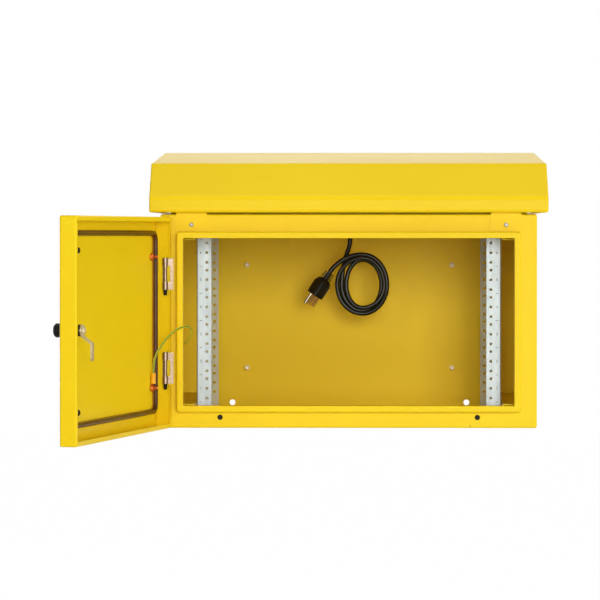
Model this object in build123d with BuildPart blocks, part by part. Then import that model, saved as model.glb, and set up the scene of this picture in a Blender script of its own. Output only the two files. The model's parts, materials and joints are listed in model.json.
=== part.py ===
"""Wall-mount rack cabinet of six rack units, with a hinged door, a rain hood and two top fans.

Frame: +X to the right, +Y towards the wall, +Z up. The origin is the centre of the four
wall holes, on the back face that meets the wall. The door stands open.
All sizes are in millimetres.
"""

import os
from math import atan2, cos, degrees, pi, radians, sin, tan

from build123d import *

# ------------------------------------------------------------------ cabinet box
body_width = 607.0
body_height = 345.0
body_depth = 500.0
body_sheet = 1.9
body_corner = 3.5  # outer radius of the four long edges
front_bend = 3.0  # outer radius where the front frame folds back
front_return = 7.0  # how far the front frame's folded edge reaches back

wall_hole_side_inset = 100.3  # from the cabinet's sides
wall_hole_end_inset = 20.5  # from its top and bottom
wall_hole_diameter = 10.0

panel_stud_pitch_x = 355.6
panel_stud_pitch_z = 177.8
panel_stud_diameter = 6.0
panel_stud_length = 20.0
panel_stud_drop = 2.5  # the stud pattern sits this far below mid-height
weld_collar_height = 1.2
weld_collar_margin = 1.5  # how far a weld collar stands out round its stud

# Front collar, a channel folded forward round the door opening
collar_side_land = 26.5  # front face left bare beside the collar
collar_end_land = 27.25  # front face left bare above and below it, on average
collar_drop = 1.25  # its centre is this far below mid-height
collar_reach = 17.5
collar_band = 10.3  # width of the flat land that the gasket meets
collar_corner = 5.0
collar_hem = 4.0  # how far the inner hem runs back past the front face
collar_bend = 2.5
opening_corner = 1.8
opening_bend = 0.6

seam_from = -190.0
seam_to = 195.5
seam_height = 13.7  # above the cabinet's bottom
seam_width = 0.6
seam_depth = 0.5
seam_notch_width = 1.6
seam_notch_height = 4.5

frame_plug_spacing = 415.0
frame_plug_height = 17.2  # above the cabinet's bottom
plug_hole_diameter = 6.5
plug_head_diameter = 8.6
plug_head_height = 1.6
plug_stem_clearance = 0.15
plug_stem_length = 7.0

# ------------------------------------------------------------------ rack rails and their channels
rack_units = 6
unit_pitch = 44.45
hole_in_unit = (6.35, 22.225, 38.1)  # hole heights inside one unit
rail_hole_spacing = 465.1
rail_hole_diameter = 4.8
rail_flange = 24.0
rail_inner_edge = 225.4  # from the cabinet's middle
rail_leg = 30.0
rail_sheet = 2.0
rail_end_gap = 7.0  # from a rail's end to the cabinet's outside
rail_hole_drops = {"front": 1.3, "rear": 4.2}  # the middle of the holes, below the cabinet's middle
rail_bend = 2.5
front_rail_depth = 103.0  # behind the front face
rear_rail_setback = 54.0  # in front of the wall

channel_sheet = 2.0
lower_channel_height = 36.0
upper_channel_height = 40.0
channel_front = 20.0  # behind the front face
channel_back_gap = 2.0
channel_side_gap = 2.6
channel_bend = 2.5

rail_bolt_diameter = 6.0
rail_bolt_setback = 18.0  # behind the rail's front face
bolt_clearance = 0.25
bolt_head_flats = 10.0
bolt_head_height = 4.0
bolt_nut_height = 5.0
bolt_end = 2.0  # thread that shows past a nut
nut_play = 0.08  # radial play of a nut on its thread

# ------------------------------------------------------------------ top fans, vent and cord entry
fan_size = 119.0
fan_height = 25.0
fan_spacing = 300.0  # between the two fans' shafts
fan_corner = 5.0
fan_strut_margin = 1.0  # a strut ends this far inside the barrel's outside
fan_bore = 113.0
fan_hole_pitch = 105.0
fan_hub_diameter = 40.0
fan_blade_gap = 2.5  # blade tip to the bore
fan_blades = 7
fan_plate = 4.0  # the motor plate under the hub
fan_strut = 6.0
fan_shaft_diameter = 4.0
fan_shaft_play = 0.06
fan_shaft_length = 12.0
fan_flange = 4.0
fan_barrel = 117.6
fan_hub_gap = 1.0
fan_top_gap = 3.0  # hub to the ceiling
fan_blade_sheet = 1.8
fan_root_chord = 20.0
fan_root_pitch = 42.0  # degrees from level
fan_tip_chord = 30.0
fan_tip_pitch = 24.0
guard_sheet = 1.0
guard_ring = 2.0
guard_pitch = 12.0  # between rings
guard_hub = 16.0
guard_rings = 3
guard_ear = 5.0
guard_arm = 3.0
fan_screw_diameter = 4.0
fan_nut_flats = 7.0
fan_nut_height = 3.2

upstand_side_gap = 13.5  # inside the cabinet's sides
upstand_front = 40.0  # behind the front face
upstand_back = 40.0  # in front of the wall
upstand_height = 22.0
upstand_sheet = 1.5
upstand_corner = 8.0

terminal_box_width = 70.0
terminal_box_depth = 50.0
terminal_box_height = 25.0
terminal_box_corner = 4.0

cord_diameter = 7.8
cord_exit_x = 1.5
cord_exit_setback = 120.0  # in front of the wall
gland_thread_diameter = 12.0
gland_thread_height = 8.0
gland_flats = 19.0
gland_hex_height = 6.0
gland_dome_height = 12.0
gland_dome_diameter = 17.0
gland_relief_height = 15.0
gland_relief_diameter = 11.0
gland_tip_diameter = 9.2

# ------------------------------------------------------------------ rain hood
hood_overhang = 17.5  # past the cabinet's sides
hood_front = 22.0  # the skirt stands this far in front of the front face
hood_gap = 2.6  # skirt above the cabinet's top
hood_skirt = 24.1
hood_slope_rise = 56.0
hood_slope_run = 71.0
hood_top_rise = 26.4
hood_sheet = 1.5
hood_hem_radius = 5.0
hood_skirt_bend = 12.0
hood_bend = 4.0
hood_end_bend = 3.0
hood_return = 14.0  # the flange folded in along the bottom
hood_back_lift = 14.0  # the back wall stops this far above the skirt's lower edge
hood_tab_inset = 25.0  # inside the cabinet's sides
hood_tab_width = 49.8
hood_tab_drop = 28.0  # below the cabinet's top
hood_foot = 24.0
hood_foot_width = 50.0
hood_foot_spacing = 380.0
hood_screw_height = 17.3  # below the cabinet's top
hood_screw_diameter = 4.0
hood_screw_head = 7.0
screw_head_height = 2.2
hood_screw_length = 9.0

# ------------------------------------------------------------------ door
door_side_inset = 2.0  # inside the cabinet's sides
door_end_inset = 2.5  # inside the cabinet's top and bottom, on average
door_drop = 2.2  # its centre is this far below mid-height
door_depth = 26.0
door_sheet = 1.5
door_gap = 2.0  # rim to the front face when shut
door_lip = 7.5
door_corner = 3.5
door_bend = 3.0
door_rim_bend = 2.2  # outer radius where the lip folds in off the rim
door_open = 100.6  # degrees

hinge_inset = 6.2  # pin from the door's hinge-side face
hinge_standoff = 10.5  # pin in front of the front face
hinge_spacing = 151.8  # between the two hinges' middles
hinge_height = 50.0
hinge_barrel_diameter = 8.8
hinge_pin_diameter = 5.0
hinge_pin_play = 0.05
hinge_end_knuckle = 12.0
hinge_knuckle_gap = 0.3
hinge_leaf_sheet = 2.0
hinge_leaf_reach = 12.6  # from the pin to the leaf's far edge
hinge_window = 7.6  # from the pin to the leaf's edge between its knuckles
hinge_notch_margin = 2.0
hinge_notch_depth = 0.5  # the door's rim is cut back to this far past the pin
hinge_foot = 5.0  # length of the door knuckle's foot along the rim
pin_head_height = 1.2
pin_cap_height = 8.9
pin_cap_diameter = 7.0
pin_cap_tip = 5.2

gasket_width = 10.0
gasket_overhang = 2.85  # its outer edge past the collar's
gasket_clearance = 0.3  # to the collar when shut
gasket_round = 2.5
gasket_corner = 9.0

latch_from_edge = 60.0
latch_drop = 2.4  # below mid-height
latch_head_diameter = 21.0
latch_head_height = 23.5
latch_head_chamfer = 2.8
latch_barrel_diameter = 17.6
latch_barrel_depth = 18.0  # behind the door's outer face
latch_nut_flats = 24.0
latch_nut_height = 6.0
latch_spindle_diameter = 8.0
latch_spindle_play = 0.08
latch_recess = 5.0  # depth of the key recess in the head
latch_recess_diameter = 13.0
latch_cam_length = 45.0
latch_cam_width = 12.0
latch_cam_sheet = 2.5
latch_cam_gap = 0.4  # cam to the end of the housing
latch_cam_ramp = (9.0, 20.0)  # the bend starts and ends this far from the spindle
latch_hook_gap = 1.0  # latched cam behind the collar's hem
latch_root = 18.0
latch_square = 5.4  # the spindle's square end
latch_slot_width = 2.5
latch_bolt_diameter = 3.0
latch_bolt_length = 10.0
latch_bolt_flats = 11.0
latch_bolt_height = 6.0

door_plug_from_edge = 97.0
door_plug_ends = (56.5, 46.5)  # below the cabinet's top and above its bottom

door_stud_offset = 36.0  # from the pin
door_stud_ends = (68.5, 66.0)  # below the cabinet's top and above its bottom
door_stud_diameter = 5.0
door_stud_length = 13.0
ground_nut_flats = 11.0
ground_nut_height = 4.0

# ------------------------------------------------------------------ ground wire
wall_stud_depth = 45.0  # behind the front face
wall_stud_height = 86.0  # above the cabinet's bottom
wire_diameter = 3.2
terminal_ring_diameter = 10.0
terminal_sheet = 0.8
terminal_barrel_diameter = 7.2
terminal_neck = 7.0  # stud to the barrel
terminal_barrel_length = 17.0

# ------------------------------------------------------------------ power cord
coil_width = 93.0
coil_height = 109.6
coil_hole_width = 52.0
coil_hole_height = 75.0
coil_x = 22.2
coil_z = 54.8
coil_hole_shift_x = 2.6
coil_hole_shift_z = 1.1
coil_thickness = 14.0

plug_run_in = 8.0  # straight cord in front of the strain relief
plug_length = 34.0
plug_shoulder = 8.5
plug_width = 27.0
plug_thickness = 23.0
plug_corner = 6.0
plug_neck_diameter = 16.0
plug_relief_length = 12.4
plug_relief_tip_diameter = 9.6
plug_rib_diameter = 13.0
plug_rib_height = 1.8
plug_ribs = 4
plug_turn = 35.0  # degrees, about its own length
blade_spacing = 12.7
blade_width = 6.35
blade_thickness = 1.5
blade_length = 17.2
blade_hole_diameter = 3.0
ground_pin_offset = 11.9
ground_pin_diameter = 4.8
ground_pin_length = 20.0

# ------------------------------------------------------------------ places worked out from the sizes
body_top = body_height / 2
body_bottom = -body_height / 2
ceiling = body_top - body_sheet
floor_level = body_bottom + body_sheet
wall_inside = body_width / 2 - body_sheet
back_inside = -body_sheet

collar_width = body_width - 2 * collar_side_land
collar_height = body_height - 2 * collar_end_land
opening = (collar_width - 2 * collar_band, collar_height - 2 * collar_band)
hood_bottom = body_top + hood_gap
hood_width = body_width + 2 * hood_overhang
hood_tab_outer = body_width / 2 - hood_tab_inset
hood_tab_inner = hood_tab_outer - hood_tab_width
upstand_width = body_width - 2 * upstand_side_gap
rail_height = body_height - 2 * rail_end_gap

door_width = body_width - 2 * door_side_inset
door_height = body_height - 2 * door_end_inset
pin_depth = door_depth + door_gap - hinge_standoff  # behind the door's outer face
pin_axis = Vector(hinge_inset - door_width / 2, -body_depth - hinge_standoff, 0)
along_door = Vector(cos(radians(door_open)), -sin(radians(door_open)), 0)
into_door = Vector(sin(radians(door_open)), cos(radians(door_open)), 0)
door_middle = door_width / 2 - hinge_inset  # from the pin to the door's middle
latch_u = door_width - hinge_inset - latch_from_edge  # from the pin
door_plug_u = door_width - hinge_inset - door_plug_from_edge
door_plug_levels = (body_top - door_plug_ends[0], body_bottom + door_plug_ends[1])
upper_stud_level = body_top - door_stud_ends[0]
lower_stud_level = body_bottom + door_stud_ends[1]
tab_middle = (hood_tab_inner + hood_tab_outer) / 2
tab_screw_z = body_top - hood_screw_height
hinge_levels = {"upper": hinge_spacing / 2, "lower": -hinge_spacing / 2}
fan_middles = {"left": -fan_spacing / 2, "right": fan_spacing / 2}
sides = {"left": -1, "right": 1}


def facing_front(depth):
    """A plane across the cabinet, that far behind the front face, which faces forward."""
    return Plane.XZ.offset(body_depth - depth)


def door_plane(depth):
    """A plane along the open door, that deep behind its outer face, which faces outwards.

    Its X runs from the hinge pin to the free edge, and its Y is up.
    """
    origin = pin_axis + into_door * (depth - pin_depth)
    return Plane(origin=origin, x_dir=along_door, z_dir=-into_door)


def door_level(height):
    """A level plane at the hinge pin: X runs along the open door and Y runs into it."""
    return Plane(origin=pin_axis + Vector(0, 0, height), x_dir=along_door, z_dir=(0, 0, 1))


def hinge_level(height):
    """A level plane at the hinge pin, square to the cabinet."""
    return Plane(origin=pin_axis + Vector(0, 0, height), x_dir=(1, 0, 0), z_dir=(0, 0, 1))


def save(part, name):
    """Labels a finished piece and writes it to its own file."""
    part.label = name
    os.makedirs("parts", exist_ok=True)
    export_step(part, f"parts/{name}.step")


def corners(pitch_a, pitch_b):
    """The four corners of a rectangle about its own middle."""
    return [(a * pitch_a / 2, b * pitch_b / 2) for a in (-1, 1) for b in (-1, 1)]


def hex_nut(seat, flats, height, thread_diameter):
    """A hexagon nut that stands on a plane, round a thread at the plane's origin."""
    with BuildPart() as nut:
        with BuildSketch(seat):
            RegularPolygon(flats / 2, 6, major_radius=False)
            Circle(thread_diameter / 2 + nut_play, mode=Mode.SUBTRACT)
        extrude(amount=height)
    return nut.part


def pan_screw(seat, diameter, length, head_diameter):
    """A pan-head screw: its head stands on the plane and its shank goes down through it."""
    with BuildPart() as screw:
        with BuildSketch(seat):
            Circle(head_diameter / 2)
        extrude(amount=screw_head_height, taper=22)
        with BuildSketch(seat):
            Circle(diameter / 2)
        extrude(amount=-length)
    return screw.part


def hex_bolt(seat, diameter, length):
    """A hexagon-head bolt: its head stands on the plane and its shank goes down through it."""
    with BuildPart() as bolt:
        with BuildSketch(seat):
            RegularPolygon(bolt_head_flats / 2, 6, major_radius=False)
        extrude(amount=bolt_head_height)
        with BuildSketch(seat):
            Circle(diameter / 2)
        extrude(amount=-length)
    return bolt.part


def weld_stud(seat, diameter, length):
    """A stud with its weld collar, standing on a plane."""
    with BuildPart() as stud:
        with BuildSketch(seat):
            Circle(diameter / 2 + weld_collar_margin)
        extrude(amount=weld_collar_height)
        with BuildSketch(seat):
            Circle(diameter / 2)
        extrude(amount=length)
    return stud.part


def hole_plug(seat):
    """A push-in plug: a low domed head on the plane, and its stem through the hole."""
    with BuildPart() as plug:
        with BuildSketch(seat):
            Circle(plug_head_diameter / 2)
        extrude(amount=plug_head_height, taper=30)
        with BuildSketch(seat):
            Circle(plug_hole_diameter / 2 - plug_stem_clearance)
        extrude(amount=-plug_stem_length)
    return plug.part


def bend_radii(points):
    """One radius for each corner of a cord: 0.45 of its shorter run over half the turn's tangent."""
    radii = []
    for before, corner, after in zip(points, points[1:], points[2:]):
        run_in = corner - before
        run_out = after - corner
        half_turn = radians(run_in.get_angle(run_out)) / 2
        radii.append(0.45 * min(run_in.length, run_out.length) / tan(half_turn))
    return radii


def tube(name, points, diameter):
    """A round cord along straight runs that are joined by tangent arcs."""
    route = [Vector(*point) for point in points]
    radii = bend_radii(route)
    print(name, "radii", [round(radius, 1) for radius in radii])
    with BuildPart() as cord:
        with BuildLine() as path:
            FilletPolyline(*route, radius=radii)
        with BuildSketch(Plane(origin=route[0], z_dir=route[1] - route[0])):
            Circle(diameter / 2)
        sweep()
    length = sum(edge.length for edge in path.edges())
    swept = pi * diameter**2 / 4 * length
    print(name, "length", round(length, 1), "volume ratio", round(cord.part.volume / swept, 4))
    return cord.part


# ================================================================== cabinet box
# The wrapper is the top, bottom and sides. Its top has the fan outlets and the cord entry.
fan_y = -body_depth / 2
cord_y = -cord_exit_setback
foot_screw_y = -(hood_foot + hood_sheet) / 2
fan_corner_holes = corners(fan_hole_pitch, fan_hole_pitch)
fan_screw_spots = [(x + dx, fan_y + dy) for x in fan_middles.values() for dx, dy in fan_corner_holes]
foot_screw_spots = [(side * hood_foot_spacing / 2, foot_screw_y) for side in sides.values()]

with BuildPart() as cabinet_wrapper:
    with BuildSketch(facing_front(front_return)):
        RectangleRounded(body_width, body_height, body_corner)
        RectangleRounded(
            body_width - 2 * body_sheet,
            body_height - 2 * body_sheet,
            body_corner - body_sheet,
            mode=Mode.SUBTRACT,
        )
    extrude(amount=-(body_depth - front_return - body_sheet))
    with BuildSketch(Plane.XY.offset(body_top)):
        with Locations(*[(x, fan_y) for x in fan_middles.values()]):
            Circle(fan_bore / 2)
        with Locations(*fan_screw_spots):
            Circle(fan_screw_diameter / 2 + bolt_clearance)
        with Locations(*foot_screw_spots):
            Circle(hood_screw_diameter / 2 + bolt_clearance)
        with Locations((cord_exit_x, cord_y)):
            Circle(gland_thread_diameter / 2 + bolt_clearance)
    extrude(amount=-2 * body_sheet, mode=Mode.SUBTRACT)
save(cabinet_wrapper.part, "cabinet_wrapper")

with BuildPart() as back_panel:
    with BuildSketch(Plane.XZ.offset(body_sheet)):
        RectangleRounded(body_width, body_height, body_corner)
        wall_hole_spacing = (body_width - 2 * wall_hole_side_inset, body_height - 2 * wall_hole_end_inset)
        with GridLocations(*wall_hole_spacing, 2, 2):
            Circle(wall_hole_diameter / 2, mode=Mode.SUBTRACT)
    extrude(amount=-body_sheet)
save(back_panel.part, "back_panel")

panel_stud_seats = [
    Plane(origin=(x, back_inside, z - panel_stud_drop), z_dir=(0, -1, 0))
    for x, z in corners(panel_stud_pitch_x, panel_stud_pitch_z)
]
panel_stud_set = [weld_stud(seat, panel_stud_diameter, panel_stud_length) for seat in panel_stud_seats]
with BuildPart() as panel_studs:
    add(panel_stud_set)
save(panel_studs.part, "panel_studs")

# The front frame is a shallow tray with the collar folded forward out of it.
hem_outer = (opening[0] + 2 * body_sheet, opening[1] + 2 * body_sheet)
collar_inside = (collar_width - 2 * body_sheet, collar_height - 2 * body_sheet)
tab_screw_spots = [(side * tab_middle, tab_screw_z) for side in sides.values()]
frame_plug_z = body_bottom + frame_plug_height
frame_plug_spots = [(side * frame_plug_spacing / 2, frame_plug_z) for side in sides.values()]
with BuildPart() as front_frame:
    with BuildSketch(facing_front(front_return)):
        RectangleRounded(body_width, body_height, body_corner)
    extrude(amount=front_return)
    fillet(front_frame.faces().sort_by(Axis.Y)[0].edges(), front_bend)
    with BuildSketch(facing_front(front_return)):
        RectangleRounded(body_width - 2 * body_sheet, body_height - 2 * body_sheet, body_corner - body_sheet)
    extrude(amount=front_return - body_sheet, mode=Mode.SUBTRACT)
    # the collar's wall and land
    with BuildSketch(facing_front(0)):
        with Locations((0, -collar_drop)):
            RectangleRounded(collar_width, collar_height, collar_corner)
            RectangleRounded(*opening, opening_corner, mode=Mode.SUBTRACT)
    extrude(amount=collar_reach)
    land = front_frame.faces().sort_by(Axis.Y)[0]
    fillet(land.outer_wire().edges(), collar_bend)
    fillet(front_frame.faces().sort_by(Axis.Y)[0].inner_wires()[0].edges(), opening_corner - opening_bend)
    # the opening, and the hem that runs back along it
    with BuildSketch(facing_front(front_return)):
        with Locations((0, -collar_drop)):
            RectangleRounded(*opening, opening_corner)
    extrude(amount=front_return, mode=Mode.SUBTRACT)
    with BuildSketch(facing_front(collar_hem)):
        with Locations((0, -collar_drop)):
            RectangleRounded(*hem_outer, opening_corner + body_sheet)
            RectangleRounded(*opening, opening_corner, mode=Mode.SUBTRACT)
    extrude(amount=collar_hem + collar_reach / 2)
    # the channel between the wall and the hem, open at the back
    with BuildSketch(facing_front(collar_hem)):
        with Locations((0, -collar_drop)):
            RectangleRounded(*collar_inside, collar_corner - body_sheet)
            RectangleRounded(*hem_outer, opening_corner + body_sheet, mode=Mode.SUBTRACT)
    extrude(amount=collar_hem + collar_reach - body_sheet, mode=Mode.SUBTRACT)
    # screw holes for the hood's tabs, and the plugged holes below
    with BuildSketch(facing_front(0)):
        with Locations(*tab_screw_spots):
            Circle(hood_screw_diameter / 2 + bolt_clearance)
        with Locations(*frame_plug_spots):
            Circle(plug_hole_diameter / 2)
    extrude(amount=-2 * body_sheet, mode=Mode.SUBTRACT)
    # the welded seam along the bottom, and its notch
    with BuildSketch(facing_front(0)):
        with Locations(((seam_from + seam_to) / 2, body_bottom + seam_height)):
            Rectangle(seam_to - seam_from, seam_width)
    extrude(amount=-seam_depth, mode=Mode.SUBTRACT)
    with BuildSketch(facing_front(0)):
        with Locations((seam_to, body_bottom + seam_notch_height / 2)):
            Rectangle(seam_notch_width, seam_notch_height)
    extrude(amount=-front_bend, mode=Mode.SUBTRACT)
save(front_frame.part, "front_frame")

frame_plug_set = [hole_plug(Plane(origin=(x, -body_depth, z), z_dir=(0, -1, 0))) for x, z in frame_plug_spots]
with BuildPart() as frame_plugs:
    add(frame_plug_set)
save(frame_plugs.part, "frame_plugs")

# The upstand is a low wall on the top, which keeps rain out of the fan outlets.
upstand_depth = body_depth - upstand_front - upstand_back
with BuildPart() as vent_upstand:
    with BuildSketch(Plane.XY.offset(body_top)):
        with Locations((0, (upstand_front - body_depth - upstand_back) / 2)):
            RectangleRounded(upstand_width, upstand_depth, upstand_corner)
            RectangleRounded(
                upstand_width - 2 * upstand_sheet,
                upstand_depth - 2 * upstand_sheet,
                upstand_corner - upstand_sheet,
                mode=Mode.SUBTRACT,
            )
    extrude(amount=upstand_height)
save(vent_upstand.part, "vent_upstand")


# ================================================================== rain hood
def hood_form(inset):
    """The hood's folded outline as a solid, drawn in by the same distance on every side."""
    front = -body_depth - hood_front
    skirt_top = (front, hood_bottom + hood_skirt)
    ridge = (front + hood_slope_run, skirt_top[1] + hood_slope_rise)
    back_top = (0, ridge[1] + hood_top_rise)
    back_foot = (0, hood_bottom)
    front_foot = (front, hood_bottom)
    with BuildPart() as form:
        with BuildSketch(Plane.YZ.offset(inset - hood_width / 2)) as side_view:
            with BuildLine():
                Polyline(front_foot, skirt_top, ridge, back_top, back_foot, close=True)
            make_face()
            if inset:
                offset(amount=-inset, kind=Kind.INTERSECTION, mode=Mode.REPLACE)
            bends = (
                (front_foot, hood_hem_radius),
                (skirt_top, hood_skirt_bend),
                (ridge, hood_bend),
                (back_top, hood_bend),
                (back_foot, hood_bend),
            )
            for spot, radius in bends:
                corner = side_view.vertices().sort_by_distance(Vector(*spot))[0]
                fillet(corner, radius - inset)
        extrude(amount=hood_width - 2 * inset)
        ends = form.faces().sort_by(Axis.X)
        fillet(ends[0].edges() + ends[-1].edges(), hood_end_bend - inset)
    return form.part


hood_outside = hood_form(0)
hood_inside = hood_form(hood_sheet)
with BuildPart() as rain_hood:
    add(hood_outside)
    add(hood_inside, mode=Mode.SUBTRACT)
    # the underside is open inside a narrow return flange
    hood_front_y = -body_depth - hood_front
    opening_front = hood_front_y + hood_return
    with BuildSketch(Plane.XY.offset(hood_bottom)):
        with Locations((0, (opening_front - hood_sheet) / 2)):
            Rectangle(hood_width - 2 * hood_return, -hood_sheet - opening_front)
    extrude(amount=2 * hood_sheet, mode=Mode.SUBTRACT)
    # the back wall stops short of the cabinet
    with BuildSketch(Plane.XZ):
        with Locations((0, hood_bottom + hood_back_lift / 2)):
            Rectangle(hood_width, hood_back_lift)
    extrude(amount=2 * hood_bend, mode=Mode.SUBTRACT)
    # two feet at the back
    with Locations(*[(side * hood_foot_spacing / 2, 0, 0) for side in sides.values()]):
        with BuildSketch(Plane.YZ.offset(-hood_foot_width / 2)):
            with BuildLine():
                Polyline(
                    (0, body_top),
                    (-hood_foot, body_top),
                    (-hood_foot, body_top + hood_sheet),
                    (-hood_sheet, body_top + hood_sheet),
                    (-hood_sheet, hood_bottom + hood_back_lift + hood_sheet),
                    (0, hood_bottom + hood_back_lift + hood_sheet),
                    close=True,
                )
            make_face()
        extrude(amount=hood_foot_width)
    # two tabs folded down over the front face
    for side in sides.values():
        tab_left = min(side * hood_tab_inner, side * hood_tab_outer)
        with BuildSketch(Plane.YZ.offset(tab_left)):
            with BuildLine():
                Polyline(
                    (opening_front - hood_sheet, hood_bottom),
                    (-body_depth - hood_sheet, hood_bottom),
                    (-body_depth - hood_sheet, body_top - hood_tab_drop),
                    (-body_depth, body_top - hood_tab_drop),
                    (-body_depth, hood_bottom + hood_sheet),
                    (opening_front - hood_sheet, hood_bottom + hood_sheet),
                    close=True,
                )
            make_face()
        extrude(amount=hood_tab_outer - hood_tab_inner)
    with BuildSketch(facing_front(0)):
        with Locations(*tab_screw_spots):
            Circle(hood_screw_diameter / 2 + bolt_clearance)
    extrude(amount=2 * hood_sheet, mode=Mode.SUBTRACT)
    with BuildSketch(Plane.XY.offset(body_top)):
        with Locations(*foot_screw_spots):
            Circle(hood_screw_diameter / 2 + bolt_clearance)
    extrude(amount=2 * hood_sheet, mode=Mode.SUBTRACT)
save(rain_hood.part, "rain_hood")

hood_screw_seats = [
    Plane(origin=(x, -body_depth - hood_sheet, z), z_dir=(0, -1, 0)) for x, z in tab_screw_spots
] + [Plane(origin=(x, y, body_top + hood_sheet), z_dir=(0, 0, 1)) for x, y in foot_screw_spots]
hood_screw_set = [
    pan_screw(seat, hood_screw_diameter, hood_screw_length, hood_screw_head) for seat in hood_screw_seats
]
with BuildPart() as hood_screws:
    add(hood_screw_set)
save(hood_screws.part, "hood_screws")


# ================================================================== rack rails and their channels
rail_outer_edge = rail_inner_edge + rail_flange
rail_depths = {"front": front_rail_depth, "rear": body_depth - rear_rail_setback}
rail_bolt_levels = {
    "lower": floor_level + lower_channel_height / 2,
    "upper": ceiling - upper_channel_height / 2,
}
rail_hole_levels = [
    (unit - rack_units / 2) * unit_pitch + height for unit in range(rack_units) for height in hole_in_unit
]


def bolt_y(rail_depth):
    """Where a rail's side bolts stand along the cabinet's depth."""
    return rail_depth + rail_bolt_setback - body_depth


def rack_rail(side, rail_depth, hole_drop):
    """An angle rail: its front flange has the rack holes, and its leg bolts to the channels."""
    front = rail_depth - body_depth
    with BuildPart() as rail:
        with BuildSketch(Plane.XY.offset(-rail_height / 2)):
            with BuildLine():
                Polyline(
                    (side * rail_inner_edge, front),
                    (side * rail_outer_edge, front),
                    (side * rail_outer_edge, front + rail_leg),
                    (side * (rail_outer_edge - rail_sheet), front + rail_leg),
                    (side * (rail_outer_edge - rail_sheet), front + rail_sheet),
                    (side * rail_inner_edge, front + rail_sheet),
                    close=True,
                )
            make_face()
        extrude(amount=rail_height)
        bend = rail.edges().filter_by(Axis.Z).sort_by_distance((side * rail_outer_edge, front, 0))[0]
        fillet(bend, rail_bend)
        hole_x = side * rail_hole_spacing / 2
        with BuildSketch(facing_front(rail_depth)):
            with Locations(*[(hole_x, level - hole_drop) for level in rail_hole_levels]):
                Circle(rail_hole_diameter / 2)
        extrude(amount=-rail_sheet, mode=Mode.SUBTRACT)
        with BuildSketch(Plane.YZ.offset(side * rail_outer_edge)):
            with Locations(*[(bolt_y(rail_depth), level) for level in rail_bolt_levels.values()]):
                Circle(rail_bolt_diameter / 2 + bolt_clearance)
        extrude(amount=-side * 2 * rail_sheet, mode=Mode.SUBTRACT)
    return rail.part


def rail_channel(side, level):
    """A channel along one corner of the cabinet, open towards the side wall."""
    height = {"lower": lower_channel_height, "upper": upper_channel_height}[level]
    bottom = {"lower": floor_level, "upper": ceiling - upper_channel_height}[level]
    top = bottom + height
    web = rail_outer_edge
    far = wall_inside - channel_side_gap
    with BuildPart() as channel:
        with BuildSketch(facing_front(channel_front)):
            with BuildLine():
                Polyline(
                    (side * web, bottom),
                    (side * far, bottom),
                    (side * far, bottom + channel_sheet),
                    (side * (web + channel_sheet), bottom + channel_sheet),
                    (side * (web + channel_sheet), top - channel_sheet),
                    (side * far, top - channel_sheet),
                    (side * far, top),
                    (side * web, top),
                    close=True,
                )
            make_face()
        extrude(amount=-(body_depth - channel_front - body_sheet - channel_back_gap))
        for corner_z in (bottom, top):
            long_edges = channel.edges().filter_by(Axis.Y)
            fillet(long_edges.sort_by_distance((side * web, -body_depth / 2, corner_z))[0], channel_bend)
        with BuildSketch(Plane.YZ.offset(side * web)):
            with Locations(*[(bolt_y(depth), rail_bolt_levels[level]) for depth in rail_depths.values()]):
                Circle(rail_bolt_diameter / 2 + bolt_clearance)
        extrude(amount=side * 2 * channel_sheet, mode=Mode.SUBTRACT)
    return channel.part


for side_name, side in sides.items():
    for rail_name, rail_depth in rail_depths.items():
        rail = rack_rail(side, rail_depth, rail_hole_drops[rail_name])
        save(rail, f"{rail_name}_{side_name}_rail")
    for level_name in rail_bolt_levels:
        save(rail_channel(side, level_name), f"{level_name}_{side_name}_channel")

bolt_spots = [
    (side, bolt_y(depth), level)
    for side in sides.values()
    for depth in rail_depths.values()
    for level in rail_bolt_levels.values()
]
bolt_u = rail_outer_edge - rail_sheet
nut_u = rail_outer_edge + channel_sheet
bolt_seats = [Plane(origin=(side * bolt_u, y, z), z_dir=(-side, 0, 0)) for side, y, z in bolt_spots]
nut_seats = [Plane(origin=(side * nut_u, y, z), z_dir=(side, 0, 0)) for side, y, z in bolt_spots]
bolt_length = rail_sheet + channel_sheet + bolt_nut_height + bolt_end
rail_bolt_set = [hex_bolt(seat, rail_bolt_diameter, bolt_length) for seat in bolt_seats]
rail_nut_set = [hex_nut(seat, bolt_head_flats, bolt_nut_height, rail_bolt_diameter) for seat in nut_seats]
with BuildPart() as rail_bolts:
    add(rail_bolt_set)
save(rail_bolts.part, "rail_bolts")

with BuildPart() as rail_nuts:
    add(rail_nut_set)
save(rail_nuts.part, "rail_nuts")


# ================================================================== fans under the top
fan_base = ceiling - fan_height


def fan_frame(x):
    """A square fan frame with its round barrel, struts, motor plate and fixed shaft."""
    with BuildPart() as frame:
        with BuildSketch(Plane(origin=(x, fan_y, fan_base))):
            RectangleRounded(fan_size, fan_size, fan_corner)
        extrude(amount=fan_height)
        with BuildSketch(Plane(origin=(x, fan_y, fan_base + fan_flange))):
            Rectangle(fan_size, fan_size)
            Circle(fan_barrel / 2, mode=Mode.SUBTRACT)
        extrude(amount=fan_height - 2 * fan_flange, mode=Mode.SUBTRACT)
        with BuildSketch(Plane(origin=(x, fan_y, fan_base))):
            Circle(fan_bore / 2)
            with Locations(*fan_corner_holes):
                Circle(fan_screw_diameter / 2 + bolt_clearance)
        extrude(amount=fan_height, mode=Mode.SUBTRACT)
        with BuildSketch(Plane(origin=(x, fan_y, fan_base))):
            Circle(fan_hub_diameter / 2)
            Rectangle(fan_barrel - 2 * fan_strut_margin, fan_strut, rotation=45)
            Rectangle(fan_barrel - 2 * fan_strut_margin, fan_strut, rotation=-45)
        extrude(amount=fan_plate)
        with BuildSketch(Plane(origin=(x, fan_y, fan_base + fan_plate))):
            Circle(fan_shaft_diameter / 2)
        extrude(amount=fan_shaft_length)
    return frame.part


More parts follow.
